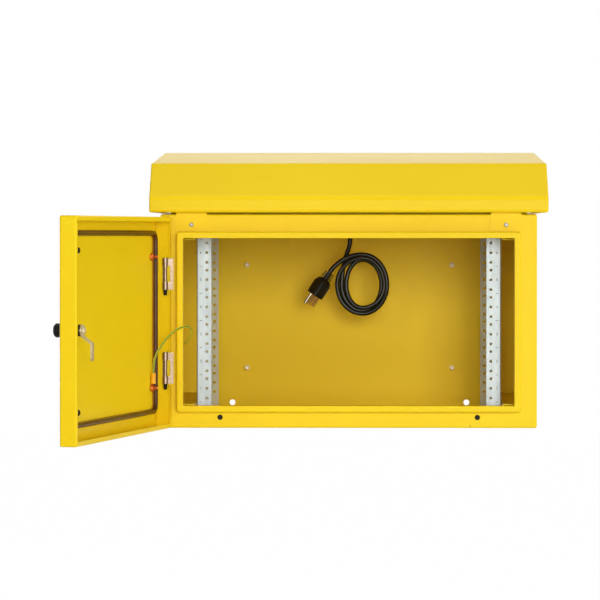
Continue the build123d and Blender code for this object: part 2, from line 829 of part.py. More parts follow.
def fan_blade():
    """One twisted blade on the X axis, about the hub's middle height."""
    root = fan_hub_diameter / 2 - fan_blade_sheet
    tip = fan_bore / 2 - fan_blade_gap
    sections = ((root, fan_root_chord, fan_root_pitch), (tip, fan_tip_chord, fan_tip_pitch))
    with BuildPart() as blade:
        for radius, chord, pitch in sections:
            with BuildSketch(Plane(origin=(radius, 0, 0), x_dir=(0, 1, 0), z_dir=(1, 0, 0))):
                Rectangle(chord, fan_blade_sheet, rotation=pitch)
        loft()
    return blade.part


def fan_rotor(x):
    """The fan's hub and blades, which turn on the frame's shaft."""
    hub_bottom = fan_base + fan_plate + fan_hub_gap
    hub_height = ceiling - fan_top_gap - hub_bottom
    blade = Pos(0, 0, hub_height / 2) * fan_blade()
    with BuildPart(Plane(origin=(x, fan_y, hub_bottom))) as rotor:
        Cylinder(fan_hub_diameter / 2, hub_height, align=(Align.CENTER, Align.CENTER, Align.MIN))
        fillet(rotor.edges().group_by(Axis.Z)[-1], fan_blade_sheet)
        with PolarLocations(0, fan_blades):
            add(blade)
        Cylinder(
            fan_shaft_diameter / 2 + fan_shaft_play,
            fan_shaft_length,
            align=(Align.CENTER, Align.CENTER, Align.MIN),
            mode=Mode.SUBTRACT,
        )
    return rotor.part


def fan_guard(x):
    """A flat stamped finger guard under the fan."""
    with BuildPart() as guard:
        with BuildSketch(Plane(origin=(x, fan_y, fan_base - guard_sheet))):
            for ring in range(guard_rings, 0, -1):
                Circle(guard_hub + ring * guard_pitch)
                Circle(guard_hub + ring * guard_pitch - guard_ring, mode=Mode.SUBTRACT)
            Circle(guard_hub)
            Rectangle(fan_hole_pitch * 2**0.5, guard_arm, rotation=45)
            Rectangle(fan_hole_pitch * 2**0.5, guard_arm, rotation=-45)
            with Locations(*fan_corner_holes):
                Circle(guard_ear)
                Circle(fan_screw_diameter / 2 + bolt_clearance, mode=Mode.SUBTRACT)
        extrude(amount=guard_sheet)
    return guard.part


for fan_name, x in fan_middles.items():
    save(fan_frame(x), f"{fan_name}_fan_frame")
    save(fan_rotor(x), f"{fan_name}_fan_rotor")
    save(fan_guard(x), f"{fan_name}_fan_guard")

fan_screw_length = guard_sheet + fan_height + body_sheet + fan_nut_height + bolt_end
fan_screw_seats = [Plane(origin=(x, y, fan_base - guard_sheet), z_dir=(0, 0, -1)) for x, y in fan_screw_spots]
fan_nut_seats = [Plane(origin=(x, y, body_top), z_dir=(0, 0, 1)) for x, y in fan_screw_spots]
fan_screw_set = [
    pan_screw(seat, fan_screw_diameter, fan_screw_length, hood_screw_head) for seat in fan_screw_seats
]
fan_nut_set = [hex_nut(seat, fan_nut_flats, fan_nut_height, fan_screw_diameter) for seat in fan_nut_seats]
with BuildPart() as fan_screws:
    add(fan_screw_set)
save(fan_screws.part, "fan_screws")

with BuildPart() as fan_nuts:
    add(fan_nut_set)
save(fan_nuts.part, "fan_nuts")

# The terminal box joins the fans' leads to the power cord, which comes in through the gland.
with BuildPart() as terminal_box:
    with BuildSketch(Plane(origin=(cord_exit_x, cord_y, body_top))):
        RectangleRounded(terminal_box_width, terminal_box_depth, terminal_box_corner)
    extrude(amount=terminal_box_height)
    fillet(terminal_box.edges().group_by(Axis.Z)[-1], terminal_box_corner / 2)
    with BuildSketch(Plane(origin=(cord_exit_x, cord_y, body_top))):
        Circle(gland_thread_diameter / 2 + bolt_clearance)
    extrude(amount=gland_thread_height + bolt_end, mode=Mode.SUBTRACT)
save(terminal_box.part, "terminal_box")

gland_bottom = ceiling - gland_hex_height - gland_dome_height - gland_relief_height
with BuildPart() as cord_gland:
    with BuildSketch(Plane(origin=(cord_exit_x, cord_y, ceiling - gland_hex_height))):
        RegularPolygon(gland_flats / 2, 6, major_radius=False)
    extrude(amount=gland_hex_height)
    with BuildSketch(Plane(origin=(cord_exit_x, cord_y, 0), x_dir=(1, 0, 0), z_dir=(0, -1, 0))):
        with BuildLine():
            Polyline(
                (0, ceiling + body_sheet + gland_thread_height),
                (gland_thread_diameter / 2, ceiling + body_sheet + gland_thread_height),
                (gland_thread_diameter / 2, ceiling - gland_hex_height),
                (gland_dome_diameter / 2, ceiling - gland_hex_height),
                (gland_relief_diameter / 2, gland_bottom + gland_relief_height),
                (gland_tip_diameter / 2, gland_bottom),
                (0, gland_bottom),
                close=True,
            )
        make_face()
    revolve(axis=Axis((cord_exit_x, cord_y, 0), (0, 0, 1)))
save(cord_gland.part, "cord_gland")


# ================================================================== door
door_inside = (door_width - 2 * door_sheet, door_height - 2 * door_sheet)
with BuildPart() as door_shell:
    with BuildSketch(door_plane(door_depth)):
        with Locations((door_middle, -door_drop)):
            RectangleRounded(door_width, door_height, door_corner)
    extrude(amount=door_depth)
    fillet(door_shell.faces().sort_by(Axis(pin_axis, into_door))[0].edges(), door_bend)
    fillet(door_shell.faces().sort_by(Axis(pin_axis, into_door))[-1].edges(), door_rim_bend)
    with BuildSketch(door_plane(door_depth - door_sheet)):
        with Locations((door_middle, -door_drop)):
            RectangleRounded(*door_inside, door_corner - door_sheet)
    extrude(amount=door_depth - 2 * door_sheet, mode=Mode.SUBTRACT)
    with BuildSketch(door_plane(door_depth)):
        with Locations((door_middle, -door_drop)):
            RectangleRounded(door_width - 2 * door_lip, door_height - 2 * door_lip, door_sheet)
    extrude(amount=door_sheet, mode=Mode.SUBTRACT)
    # the rim is notched round each hinge
    notch_height = hinge_height + 2 * hinge_notch_margin
    notch_width = hinge_inset + door_lip
    for level in hinge_levels.values():
        with BuildSketch(door_level(level - notch_height / 2)):
            with Locations((0, hinge_notch_depth + door_depth / 2)):
                Rectangle(2 * notch_width, door_depth)
        extrude(amount=notch_height, mode=Mode.SUBTRACT)
    # holes for the latch and the two plugs
    with BuildSketch(door_plane(0)):
        with Locations((latch_u, -latch_drop)):
            Circle(latch_barrel_diameter / 2 + bolt_clearance)
        with Locations(*[(door_plug_u, level) for level in door_plug_levels]):
            Circle(plug_hole_diameter / 2)
    extrude(amount=-2 * door_sheet, mode=Mode.SUBTRACT)
save(door_shell.part, "door_shell")

door_plug_places = [door_plane(0).from_local_coords((door_plug_u, z, 0)) for z in door_plug_levels]
door_plug_seats = [Plane(origin=place, x_dir=along_door, z_dir=-into_door) for place in door_plug_places]
door_plug_set = [hole_plug(seat) for seat in door_plug_seats]
with BuildPart() as door_plugs:
    add(door_plug_set)
save(door_plugs.part, "door_plugs")

gasket_top = door_depth + door_gap - collar_reach - gasket_clearance  # behind the door's outer face
with BuildPart() as door_gasket:
    with BuildSketch(door_plane(gasket_top)):
        with Locations((-pin_axis.X, -collar_drop)):
            RectangleRounded(
                collar_width + 2 * gasket_overhang,
                collar_height + 2 * gasket_overhang,
                gasket_corner + gasket_width,
            )
            RectangleRounded(
                collar_width + 2 * gasket_overhang - 2 * gasket_width,
                collar_height + 2 * gasket_overhang - 2 * gasket_width,
                gasket_corner,
                mode=Mode.SUBTRACT,
            )
    extrude(amount=gasket_top - door_sheet)
    fillet(door_gasket.faces().sort_by(Axis(pin_axis, into_door))[-1].edges(), gasket_round)
save(door_gasket.part, "door_gasket")


# ------------------------------------------------------------------ hinges
barrel_radius = hinge_barrel_diameter / 2
pin_bore = hinge_pin_diameter / 2 + hinge_pin_play


def hinge_leaf(level):
    """The steel leaf on the front face, with a knuckle at each end."""
    with BuildPart() as leaf:
        plate_length = hinge_leaf_reach - hinge_window
        with BuildSketch(hinge_level(level - hinge_height / 2)):
            with Locations((hinge_window + plate_length / 2, hinge_standoff - hinge_leaf_sheet / 2)):
                Rectangle(plate_length, hinge_leaf_sheet)
        extrude(amount=hinge_height)
        for start in (level - hinge_height / 2, level + hinge_height / 2 - hinge_end_knuckle):
            with BuildSketch(hinge_level(start)):
                Circle(barrel_radius)
                with Locations((barrel_radius - hinge_leaf_sheet / 2, hinge_standoff / 2)):
                    Rectangle(hinge_leaf_sheet, hinge_standoff)
                foot_length = hinge_window - barrel_radius + hinge_leaf_sheet
                with Locations((hinge_window - foot_length / 2, hinge_standoff - hinge_leaf_sheet / 2)):
                    Rectangle(foot_length, hinge_leaf_sheet)
                Circle(pin_bore, mode=Mode.SUBTRACT)
            extrude(amount=hinge_end_knuckle)
    return leaf.part


def door_knuckle(level):
    """The knuckle between the leaf's two, with a foot along the inside of the door's rim."""
    height = hinge_height - 2 * hinge_end_knuckle - 2 * hinge_knuckle_gap
    rim_inside = hinge_inset - door_sheet
    with BuildPart() as knuckle:
        with BuildSketch(door_level(level - height / 2)):
            Circle(barrel_radius)
            with Locations((hinge_leaf_sheet / 2 - rim_inside, -hinge_foot / 2)):
                Rectangle(hinge_leaf_sheet, hinge_foot)
            Circle(pin_bore, mode=Mode.SUBTRACT)
        extrude(amount=height)
    return knuckle.part


def hinge_pin(level):
    """The pin with its flat head on the top knuckle."""
    with BuildPart() as pin:
        with BuildSketch(hinge_level(level - hinge_height / 2)):
            Circle(hinge_pin_diameter / 2)
        extrude(amount=hinge_height)
        with BuildSketch(hinge_level(level + hinge_height / 2)):
            Circle(pin_cap_diameter / 2)
        extrude(amount=pin_head_height)
    return pin.part


for level_name, level in hinge_levels.items():
    save(hinge_leaf(level), f"{level_name}_hinge_leaf")
    save(door_knuckle(level), f"{level_name}_door_knuckle")
    save(hinge_pin(level), f"{level_name}_hinge_pin")

cap_taper = degrees(atan2((pin_cap_diameter - pin_cap_tip) / 2, pin_cap_height))
with BuildPart() as pin_caps:
    for level in hinge_levels.values():
        with BuildSketch(hinge_level(level - hinge_height / 2)):
            Circle(pin_cap_diameter / 2)
        extrude(amount=-pin_cap_height, taper=cap_taper)
save(pin_caps.part, "pin_caps")


# ------------------------------------------------------------------ quarter-turn latch
def latch_level(depth):
    """A plane across the latch's spindle, that deep behind the door's outer face, which faces outwards."""
    origin = door_plane(depth).from_local_coords((latch_u, -latch_drop, 0))
    return Plane(origin=origin, x_dir=along_door, z_dir=-into_door)


with BuildPart() as latch_housing:
    with BuildSketch(latch_level(0)):
        Circle(latch_head_diameter / 2)
    extrude(amount=latch_head_height)
    chamfer(latch_housing.faces().sort_by(Axis(pin_axis, into_door))[0].edges(), latch_head_chamfer)
    with BuildSketch(latch_level(0)):
        Circle(latch_barrel_diameter / 2)
    extrude(amount=-latch_barrel_depth)
    with BuildSketch(latch_level(-latch_head_height)):
        Circle(latch_recess_diameter / 2)
    extrude(amount=-latch_recess, mode=Mode.SUBTRACT)
    with BuildSketch(latch_level(-latch_head_height)):
        Circle(latch_spindle_diameter / 2 + latch_spindle_play)
    extrude(amount=-(latch_head_height + latch_barrel_depth), mode=Mode.SUBTRACT)
save(latch_housing.part, "latch_housing")

latch_nut = hex_nut(
    latch_level(door_sheet + latch_nut_height), latch_nut_flats, latch_nut_height, latch_barrel_diameter
)
save(latch_nut, "latch_nut")

cam_root = latch_barrel_depth + latch_cam_gap  # behind the door's outer face
with BuildPart() as latch_spindle:
    with BuildSketch(latch_level(cam_root)):
        Circle(latch_spindle_diameter / 2)
    extrude(amount=cam_root + latch_head_height - latch_recess / 2)
    # the slot that the key turns
    with BuildSketch(latch_level(-latch_head_height)):
        Rectangle(latch_slot_width, latch_recess_diameter)
    extrude(amount=-latch_recess, mode=Mode.SUBTRACT)
    # the square end that carries the cam, and the bore for its bolt
    with BuildSketch(latch_level(cam_root)):
        Rectangle(latch_square, latch_square)
    extrude(amount=-latch_cam_sheet)
    with BuildSketch(latch_level(cam_root + latch_cam_sheet)):
        Circle(latch_bolt_diameter / 2 + nut_play)
    extrude(amount=latch_bolt_length, mode=Mode.SUBTRACT)
save(latch_spindle.part, "latch_spindle")

hook_level = door_depth + door_gap + collar_hem + latch_hook_gap  # behind the door's outer face
with BuildPart() as latch_cam:
    ramp_start, ramp_end = latch_cam_ramp
    ramp_angle = atan2(hook_level - cam_root, ramp_end - ramp_start)
    ramp_shift = latch_cam_sheet * tan(ramp_angle / 2)
    latch_middle = latch_level(0).origin
    with BuildSketch(Plane(origin=latch_middle, x_dir=(0, 0, -1), z_dir=along_door)):
        with BuildLine():
            Polyline(
                (0, cam_root),
                (ramp_start, cam_root),
                (ramp_end, hook_level),
                (latch_cam_length, hook_level),
                (latch_cam_length, hook_level + latch_cam_sheet),
                (ramp_end - ramp_shift, hook_level + latch_cam_sheet),
                (ramp_start - ramp_shift, cam_root + latch_cam_sheet),
                (0, cam_root + latch_cam_sheet),
                close=True,
            )
        make_face()
    extrude(amount=latch_cam_width / 2, both=True)
    tip_edges = latch_cam.edges().filter_by(Axis(latch_middle, into_door)).group_by(Axis.Z)[0]
    fillet(tip_edges, latch_cam_width / 3)
    with BuildSketch(latch_level(cam_root)):
        Circle(latch_root / 2)
    extrude(amount=-latch_cam_sheet)
    with BuildSketch(latch_level(cam_root)):
        Rectangle(latch_square + 2 * nut_play, latch_square + 2 * nut_play)
    extrude(amount=-latch_cam_sheet, mode=Mode.SUBTRACT)
save(latch_cam.part, "latch_cam")

with BuildPart() as latch_bolt:
    with BuildSketch(latch_level(cam_root + latch_cam_sheet)):
        RegularPolygon(latch_bolt_flats / 2, 6, major_radius=False)
    extrude(amount=-latch_bolt_height)
    with BuildSketch(latch_level(cam_root + latch_cam_sheet)):
        Circle(latch_bolt_diameter / 2)
    extrude(amount=latch_bolt_length - bolt_end)
save(latch_bolt.part, "latch_bolt")


# ================================================================== ground studs and wire
def door_stud_seat(level, depth):
    """A plane at a door stud that faces into the cabinet when shut, with its X pointing up."""
    origin = door_plane(depth).from_local_coords((door_stud_offset, level, 0))
    return Plane(origin=origin, x_dir=(0, 0, 1), z_dir=into_door)


def wall_stud_seat(distance):
    """A plane at the stud on the left wall, that far off the wall, with its X pointing up."""
    origin = (distance - wall_inside, wall_stud_depth - body_depth, body_bottom + wall_stud_height)
    return Plane(origin=origin, x_dir=(0, 0, 1), z_dir=(1, 0, 0))


def ring_terminal(seat):
    """A crimped ring terminal: its ring lies on the plane and its barrel runs along the plane's X."""
    with BuildPart() as terminal:
        with BuildSketch(seat):
            Circle(terminal_ring_diameter / 2)
            with Locations((terminal_neck / 2 + terminal_sheet, 0)):
                Rectangle(terminal_neck, terminal_ring_diameter / 2)
            Circle(door_stud_diameter / 2 + bolt_clearance, mode=Mode.SUBTRACT)
        extrude(amount=terminal_sheet)
        barrel_start = seat.from_local_coords((terminal_neck, 0, terminal_barrel_diameter / 2))
        with BuildSketch(Plane(origin=barrel_start, z_dir=seat.x_dir)):
            Circle(terminal_barrel_diameter / 2)
        extrude(amount=terminal_barrel_length)
    return terminal.part


def terminal_end(seat):
    """Where the wire leaves a ring terminal's barrel."""
    return seat.from_local_coords((terminal_neck + terminal_barrel_length, 0, terminal_barrel_diameter / 2))


door_stud_set = [
    weld_stud(door_stud_seat(level, door_sheet), door_stud_diameter, door_stud_length)
    for level in (upper_stud_level, lower_stud_level)
]
stud_nut_seats = (
    door_stud_seat(upper_stud_level, door_sheet + weld_collar_height),
    door_stud_seat(lower_stud_level, door_sheet + weld_collar_height + terminal_sheet),
)
stud_nut_set = [
    hex_nut(seat, ground_nut_flats, ground_nut_height, door_stud_diameter) for seat in stud_nut_seats
]
with BuildPart() as door_studs:
    add(door_stud_set)
save(door_studs.part, "door_studs")

with BuildPart() as door_stud_nuts:
    add(stud_nut_set)
save(door_stud_nuts.part, "door_stud_nuts")

door_terminal_seat = door_stud_seat(lower_stud_level, door_sheet + weld_collar_height)
save(ring_terminal(door_terminal_seat), "door_ring_terminal")

save(weld_stud(wall_stud_seat(0), door_stud_diameter, door_stud_length), "wall_ground_stud")
wall_terminal_seat = wall_stud_seat(weld_collar_height)
save(ring_terminal(wall_terminal_seat), "wall_ring_terminal")
wall_nut_seat = wall_stud_seat(weld_collar_height + terminal_sheet)
wall_nut = hex_nut(wall_nut_seat, ground_nut_flats, ground_nut_height, door_stud_diameter)
save(wall_nut, "wall_ground_nut")

# The ground wire rises from the door stud, arches over the collar and drops to the wall stud.
wire_start = terminal_end(door_terminal_seat)
wire_end = terminal_end(wall_terminal_seat)
wire_way = [  # right of the hinge pin, behind it, and above the wire's end on the door
    (-12.7, -32.5, 31.5),
    (-3.2, -30.5, 47.0),
    (7.8, -27.5, 61.0),
    (19.8, -23.5, 70.5),
    (32.0, -17.5, 75.0),
    (40.3, -3.0, 73.0),
    (41.8, 15.5, 64.0),
    (36.5, 33.0, 50.0),
    (26.5, 45.0, 43.5),
    (14.5, 52.0, 41.5),
    (6.5, 55.5, 38.0),
]
wire_points = [
    (wire_start.X, wire_start.Y, wire_start.Z),
    (wire_start.X, wire_start.Y, wire_start.Z + 17.0),
    *[(pin_axis.X + right, pin_axis.Y + back, wire_start.Z + up) for right, back, up in wire_way],
    (wire_end.X, wire_end.Y, wire_end.Z + 9.5),
    (wire_end.X, wire_end.Y, wire_end.Z),
]
save(tube("ground_wire", wire_points, wire_diameter), "ground_wire")


# ================================================================== power cord
# The lead drops out of the gland to a hanging coil, and the tail runs from the coil to the plug.
lead_points = [
    (cord_exit_x, cord_y, gland_bottom),
    (cord_exit_x, cord_y, gland_bottom - 10.5),
    (-1.0, cord_y, 115.5),
    (-5.0, cord_y, 104.5),
    (-11.0, cord_y, 94.0),
]
save(tube("power_cord_lead", lead_points, cord_diameter), "power_cord_lead")

with BuildPart() as power_cord_coil:
    with BuildSketch(Plane.XZ.offset(-cord_y - coil_thickness / 2)):
        with Locations((coil_x, coil_z)):
            Ellipse(coil_width / 2, coil_height / 2)
        with Locations((coil_x + coil_hole_shift_x, coil_z + coil_hole_shift_z)):
            Ellipse(coil_hole_width / 2, coil_hole_height / 2, mode=Mode.SUBTRACT)
    extrude(amount=coil_thickness)
save(power_cord_coil.part, "power_cord_coil")

plug_tip = Vector(-33.6, cord_y - 9.0, 74.6)  # where the cord enters the strain relief
plug_lean = 33.5  # degrees from straight down, towards the door
plug_way = Vector(-sin(radians(plug_lean)), 0, -cos(radians(plug_lean)))
plug_across = Vector(cos(radians(plug_lean)), 0, -sin(radians(plug_lean)))
blade_way = plug_across * sin(radians(plug_turn)) + Vector(0, -cos(radians(plug_turn)), 0)


plug_neck = plug_tip - plug_way * plug_run_in


def plug_plane(distance):
    """A plane across the plug, that far along from the tip of its strain relief."""
    return Plane(origin=plug_tip + plug_way * distance, x_dir=blade_way, z_dir=plug_way)


tail_points = [
    (6.4, cord_y - 7.8, 104.0),
    (-2.8, cord_y - 8.2, 100.8),
    (-12.5, cord_y - 8.5, 95.6),
    (-21.4, cord_y - 8.8, 89.1),
    (plug_neck.X, plug_neck.Y, plug_neck.Z),
    (plug_tip.X, plug_tip.Y, plug_tip.Z),
]
save(tube("power_cord_tail", tail_points, cord_diameter), "power_cord_tail")

plug_face = plug_relief_length + plug_length
with BuildPart() as plug_body:
    with BuildSketch(plug_plane(plug_relief_length + plug_shoulder)):
        RectangleRounded(plug_width, plug_thickness, plug_corner)
    extrude(amount=plug_length - plug_shoulder)
    with BuildSketch(plug_plane(plug_relief_length + plug_shoulder)):
        RectangleRounded(plug_width, plug_thickness, plug_corner)
    with BuildSketch(plug_plane(plug_relief_length)):
        Circle(plug_neck_diameter / 2)
    loft()
    with BuildSketch(plug_plane(0)):
        Circle(plug_relief_tip_diameter / 2)
    extrude(amount=plug_relief_length)
    rib_pitch = plug_relief_length / plug_ribs
    for rib in range(plug_ribs):
        with BuildSketch(plug_plane(rib * rib_pitch + plug_rib_height)):
            Circle(plug_rib_diameter / 2)
        extrude(amount=plug_rib_height)
save(plug_body.part, "plug_body")

blade_row = -ground_pin_offset / 3  # the blades and the ground pin sit about the plug's middle
with BuildPart() as plug_blades:
    with BuildSketch(plug_plane(plug_face)):
        with Locations((-blade_spacing / 2, blade_row), (blade_spacing / 2, blade_row)):
            Rectangle(blade_thickness, blade_width)
    extrude(amount=blade_length)
    hole_seat = plug_plane(plug_face + blade_length - blade_width / 2)
    with BuildSketch(Plane(origin=hole_seat.origin, x_dir=plug_way, z_dir=blade_way)):
        with Locations((0, -blade_row)):
            Circle(blade_hole_diameter / 2)
    extrude(amount=blade_spacing, both=True, mode=Mode.SUBTRACT)
save(plug_blades.part, "plug_blades")

with BuildPart() as plug_ground_pin:
    with BuildSketch(plug_plane(plug_face)):
        with Locations((0, blade_row + ground_pin_offset)):
            Circle(ground_pin_diameter / 2)
    extrude(amount=ground_pin_length)
    chamfer(plug_ground_pin.faces().sort_by(Axis(plug_tip, plug_way))[-1].edges(), ground_pin_diameter / 4)
save(plug_ground_pin.part, "plug_ground_pin")
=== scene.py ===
# %% [markdown]
# # A wall-mount rack cabinet
# The cabinet is folded sheet steel in yellow powder coat. Inside are plated rack rails, a coiled
# power cord and a ground wire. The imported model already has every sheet, hinge and rail in place,
# so this lesson loads it first, then dresses it: cords, threads, recesses and marks, and the
# finish of each piece.

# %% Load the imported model
import json
import math
import random

import bmesh
import bpy
from mathutils import Matrix, Vector

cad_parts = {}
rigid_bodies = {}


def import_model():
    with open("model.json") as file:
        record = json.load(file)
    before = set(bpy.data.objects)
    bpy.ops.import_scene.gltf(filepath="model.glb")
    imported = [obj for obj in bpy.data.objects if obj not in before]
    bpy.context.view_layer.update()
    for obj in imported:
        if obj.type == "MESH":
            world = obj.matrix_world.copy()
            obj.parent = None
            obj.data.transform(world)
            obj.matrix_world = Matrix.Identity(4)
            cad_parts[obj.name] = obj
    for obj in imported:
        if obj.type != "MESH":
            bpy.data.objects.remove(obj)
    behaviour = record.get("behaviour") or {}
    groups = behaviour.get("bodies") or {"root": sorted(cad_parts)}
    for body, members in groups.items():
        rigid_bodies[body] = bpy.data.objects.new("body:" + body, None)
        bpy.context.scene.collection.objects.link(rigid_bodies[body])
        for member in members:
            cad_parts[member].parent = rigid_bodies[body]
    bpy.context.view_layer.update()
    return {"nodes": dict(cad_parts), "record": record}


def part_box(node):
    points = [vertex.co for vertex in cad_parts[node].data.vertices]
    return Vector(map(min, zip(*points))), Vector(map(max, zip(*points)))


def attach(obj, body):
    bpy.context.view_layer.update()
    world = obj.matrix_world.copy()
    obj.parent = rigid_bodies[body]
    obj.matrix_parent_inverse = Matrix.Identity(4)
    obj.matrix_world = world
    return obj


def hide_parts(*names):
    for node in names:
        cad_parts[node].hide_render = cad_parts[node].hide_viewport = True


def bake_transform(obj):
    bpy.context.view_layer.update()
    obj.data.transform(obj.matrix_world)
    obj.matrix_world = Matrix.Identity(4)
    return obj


for leftover in list(bpy.data.objects):
    bpy.data.objects.remove(leftover)
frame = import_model()
nodes = frame["nodes"]
slot_of = {part["node"]: part["material_slot"] for part in frame["record"]["subparts"]}
scene = bpy.context.scene
MM = 0.001
print("loaded", len(nodes), "nodes")

# %% [markdown]
# ## The camera
# The cabinet is seen from over six metres away through a long lens, so its sides hardly show. The
# camera stands a little right of the middle, level with the upper part of the door opening, and
# looks very slightly left and down. A long lens far away keeps the front square, which a close
# camera can't.

# %% The camera
def add_object(name, data):
    """Put a new object with that data in the scene, at the origin."""
    thing = bpy.data.objects.new(name, data)
    scene.collection.objects.link(thing)
    return thing


long_lens = bpy.data.cameras.new("long_lens")
long_lens.sensor_width = 36.0
long_lens.lens = 238.8
long_lens.clip_end = 60.0
camera = add_object("long_lens", long_lens)
camera.location = (0.0166, -6.916, 0.1388)
looks_along = Vector((-0.01482, 1.0, -0.01633))
camera.rotation_euler = looks_along.to_track_quat("-Z", "Y").to_euler()
scene.camera = camera
print("camera at", tuple(round(v, 3) for v in camera.location))

# %% [markdown]
# ## The ends of the power cord
# A black flexible lead hangs out of the gland in the roof, is wound in three loose turns, and ends
# in a plug. These are the points that it passes before and after the turns, in millimetres: down
# out of the gland and into the coil, then out of the coil to the plug's neck.

# %% The ends of the power cord
cord_diameter = 7.8
lead_points = [
    (1.5, -120.0, 137.1),
    (1.5, -120.0, 126.6),
    (-1.0, -119.0, 115.5),
    (-5.0, -116.6, 104.5),
    (-8.6, -114.8, 92.0),
    (-11.0, -114.8, 78.5),
]
tail_points = [
    (-2.8, -128.2, 100.8),
    (-12.5, -128.5, 95.6),
    (-21.4, -128.8, 89.1),
    (-29.2, -129.0, 81.3),
    (-33.6, -129.0, 74.6),
    (-35.3, -129.0, 72.1),
]
print("the cord's ends have", len(lead_points), "and", len(tail_points), "points")

# %% [markdown]
# ## The coil
# Nobody winds a cord into perfect circles. The turns are worked out by a loop, and each has its
# own reach to the left, right, top and bottom, which is what makes them cross and fan out. On its
# way round the cord also eases to another depth, so that the turns lie on each other.

# %% The coil
coil_middle_x = 22.5
coil_middle_z = 54.0
reach_left = (36.1, 28.2, 43.9, 62.0)
reach_bottom = (45.2, 40.2, 50.3)
reach_right = (33.0, 37.9, 42.8)
reach_top = (44.0, 43.4, 46.6, 52.4)
layers = (  # the angle wound so far, and how far back the cord lies there
    (165, -115.4), (270, -116.3), (360, -116.3), (450, -117.0), (540, -120.0), (630, -124.1),
    (720, -124.1), (810, -124.0), (900, -122.0), (990, -123.0), (1080, -130.0), (1170, -129.0),
    (1260, -128.2),
)
coil_start = 165  # degrees, where 90 is the top of a turn
coil_end = 90 + 3 * 360 + 15
coil_step = 360 / 16


def coil_depth(angle):
    """How far back the cord lies. It eases from layer to layer, so that no turn has a kink."""
    for (near_angle, near), (far_angle, far) in zip(layers, layers[1:]):
        if angle <= far_angle:
            share = (angle - near_angle) / (far_angle - near_angle)
            return near + (far - near) * share * share * (3 - 2 * share)
    return layers[-1][1]


def coil_point(angle):
    """A point on the winding, which runs anticlockwise from the upper left."""
    turn = int((angle - 90) // 360)
    across = math.cos(math.radians(angle))
    up = math.sin(math.radians(angle))
    reach_x = reach_left[turn] if across < 0 else reach_right[turn]
    into_next = (angle - 90) % 360 < 90
    reach_z = reach_top[turn if into_next else turn + 1] if up > 0 else reach_bottom[turn]
    return coil_middle_x + reach_x * across, coil_depth(angle), coil_middle_z + reach_z * up


coil_count = int((coil_end - coil_start) / coil_step)
coil_points = [coil_point(coil_start + coil_step * index) for index in range(coil_count + 1)]
print("the coil has", len(coil_points), "points")

# %% [markdown]
# ## One line for the whole cord
# A cord is one smooth line, so it is one spline whose control points are its route. A NURBS spline
# passes near its points and not through them, which bends as evenly as rubber does. The curve's
# bevel then gives the line its round section. Blender pads a curve's box by its points' radius,
# which is a whole metre unless it is set, so the radius is small and the bevel makes up for it.

# %% One line for the whole cord
point_radius = 0.01


def nurbs_line(name, points, diameter, bevel_resolution):
    """A round cord on one smooth NURBS line. Points and diameter are in millimetres."""
    curve = bpy.data.curves.new(name, "CURVE")
    curve.dimensions = "3D"
    spline = curve.splines.new("NURBS")
    spline.points.add(len(points) - 1)
    for knot, point in zip(spline.points, points):
        knot.co = (*(value * MM for value in point), 1)
        knot.radius = point_radius
    spline.order_u = 3
    spline.use_endpoint_u = True
    spline.resolution_u = 8
    curve.bevel_depth = diameter * MM / 2 / point_radius
    curve.bevel_resolution = bevel_resolution
    curve.use_fill_caps = True
    return add_object(name, curve)


def mesh_of(thing):
    """The mesh that Blender draws for a curve or a text object."""
    bpy.context.view_layer.update()
    graph = bpy.context.evaluated_depsgraph_get()
    return bpy.data.meshes.new_from_object(thing.evaluated_get(graph))


def line_length(line):
    """The length of a curve object's centreline, in metres."""
    kept_depth = line.data.bevel_depth
    line.data.bevel_depth = 0
    mesh = mesh_of(line)
    spots = [vert.co.copy() for vert in mesh.vertices]
    steps = [[spots[end] for end in edge.vertices] for edge in mesh.edges]
    length = sum((far - near).length for near, far in steps)
    bpy.data.meshes.remove(mesh)
    line.data.bevel_depth = kept_depth
    return length


power_cord = nurbs_line(
    "power_cord", lead_points + coil_points + tail_points, cord_diameter, bevel_resolution=5
)
cord_length = line_length(power_cord)
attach(power_cord, "cabinet")
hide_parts("power_cord_lead", "power_cord_coil", "power_cord_tail")
print("power cord", round(cord_length, 3), "m")

# %% [markdown]
# ## The ground wire
# A green and yellow wire joins the door to the cabinet, so that both are earthed, and it bends as
# the door swings. It is made as a mesh from the same kind of smooth line as the cord. Two of the
# points round each ring are marked, which is where the stripe runs.

# %% The ground wire
wire_diameter = 3.2
wire_points = [
    (-312.9, -543.8, -82.5),
    (-312.9, -543.8, -65.5),
    (-308.0, -543.0, -51.0),
    (-298.5, -541.0, -35.5),
    (-287.5, -538.0, -21.5),
    (-275.5, -534.0, -12.0),
    (-263.3, -528.0, -7.5),
    (-255.0, -513.5, -9.5),
    (-253.5, -495.0, -18.5),
    (-258.8, -477.5, -32.5),
    (-268.8, -465.5, -39.0),
    (-280.8, -458.5, -41.0),
    (-288.8, -455.0, -44.5),
    (-296.8, -455.0, -53.0),
    (-296.8, -455.0, -62.5),
]
ring_count = 12  # points round the wire at a bevel resolution of 4
striped = (2, 3)


def shade_smooth(mesh, sharp_degrees=35):
    """Smooth faces, with edges over that angle kept sharp."""
    for face in mesh.polygons:
        face.use_smooth = True
    mesh.set_sharp_from_angle(angle=math.radians(sharp_degrees))


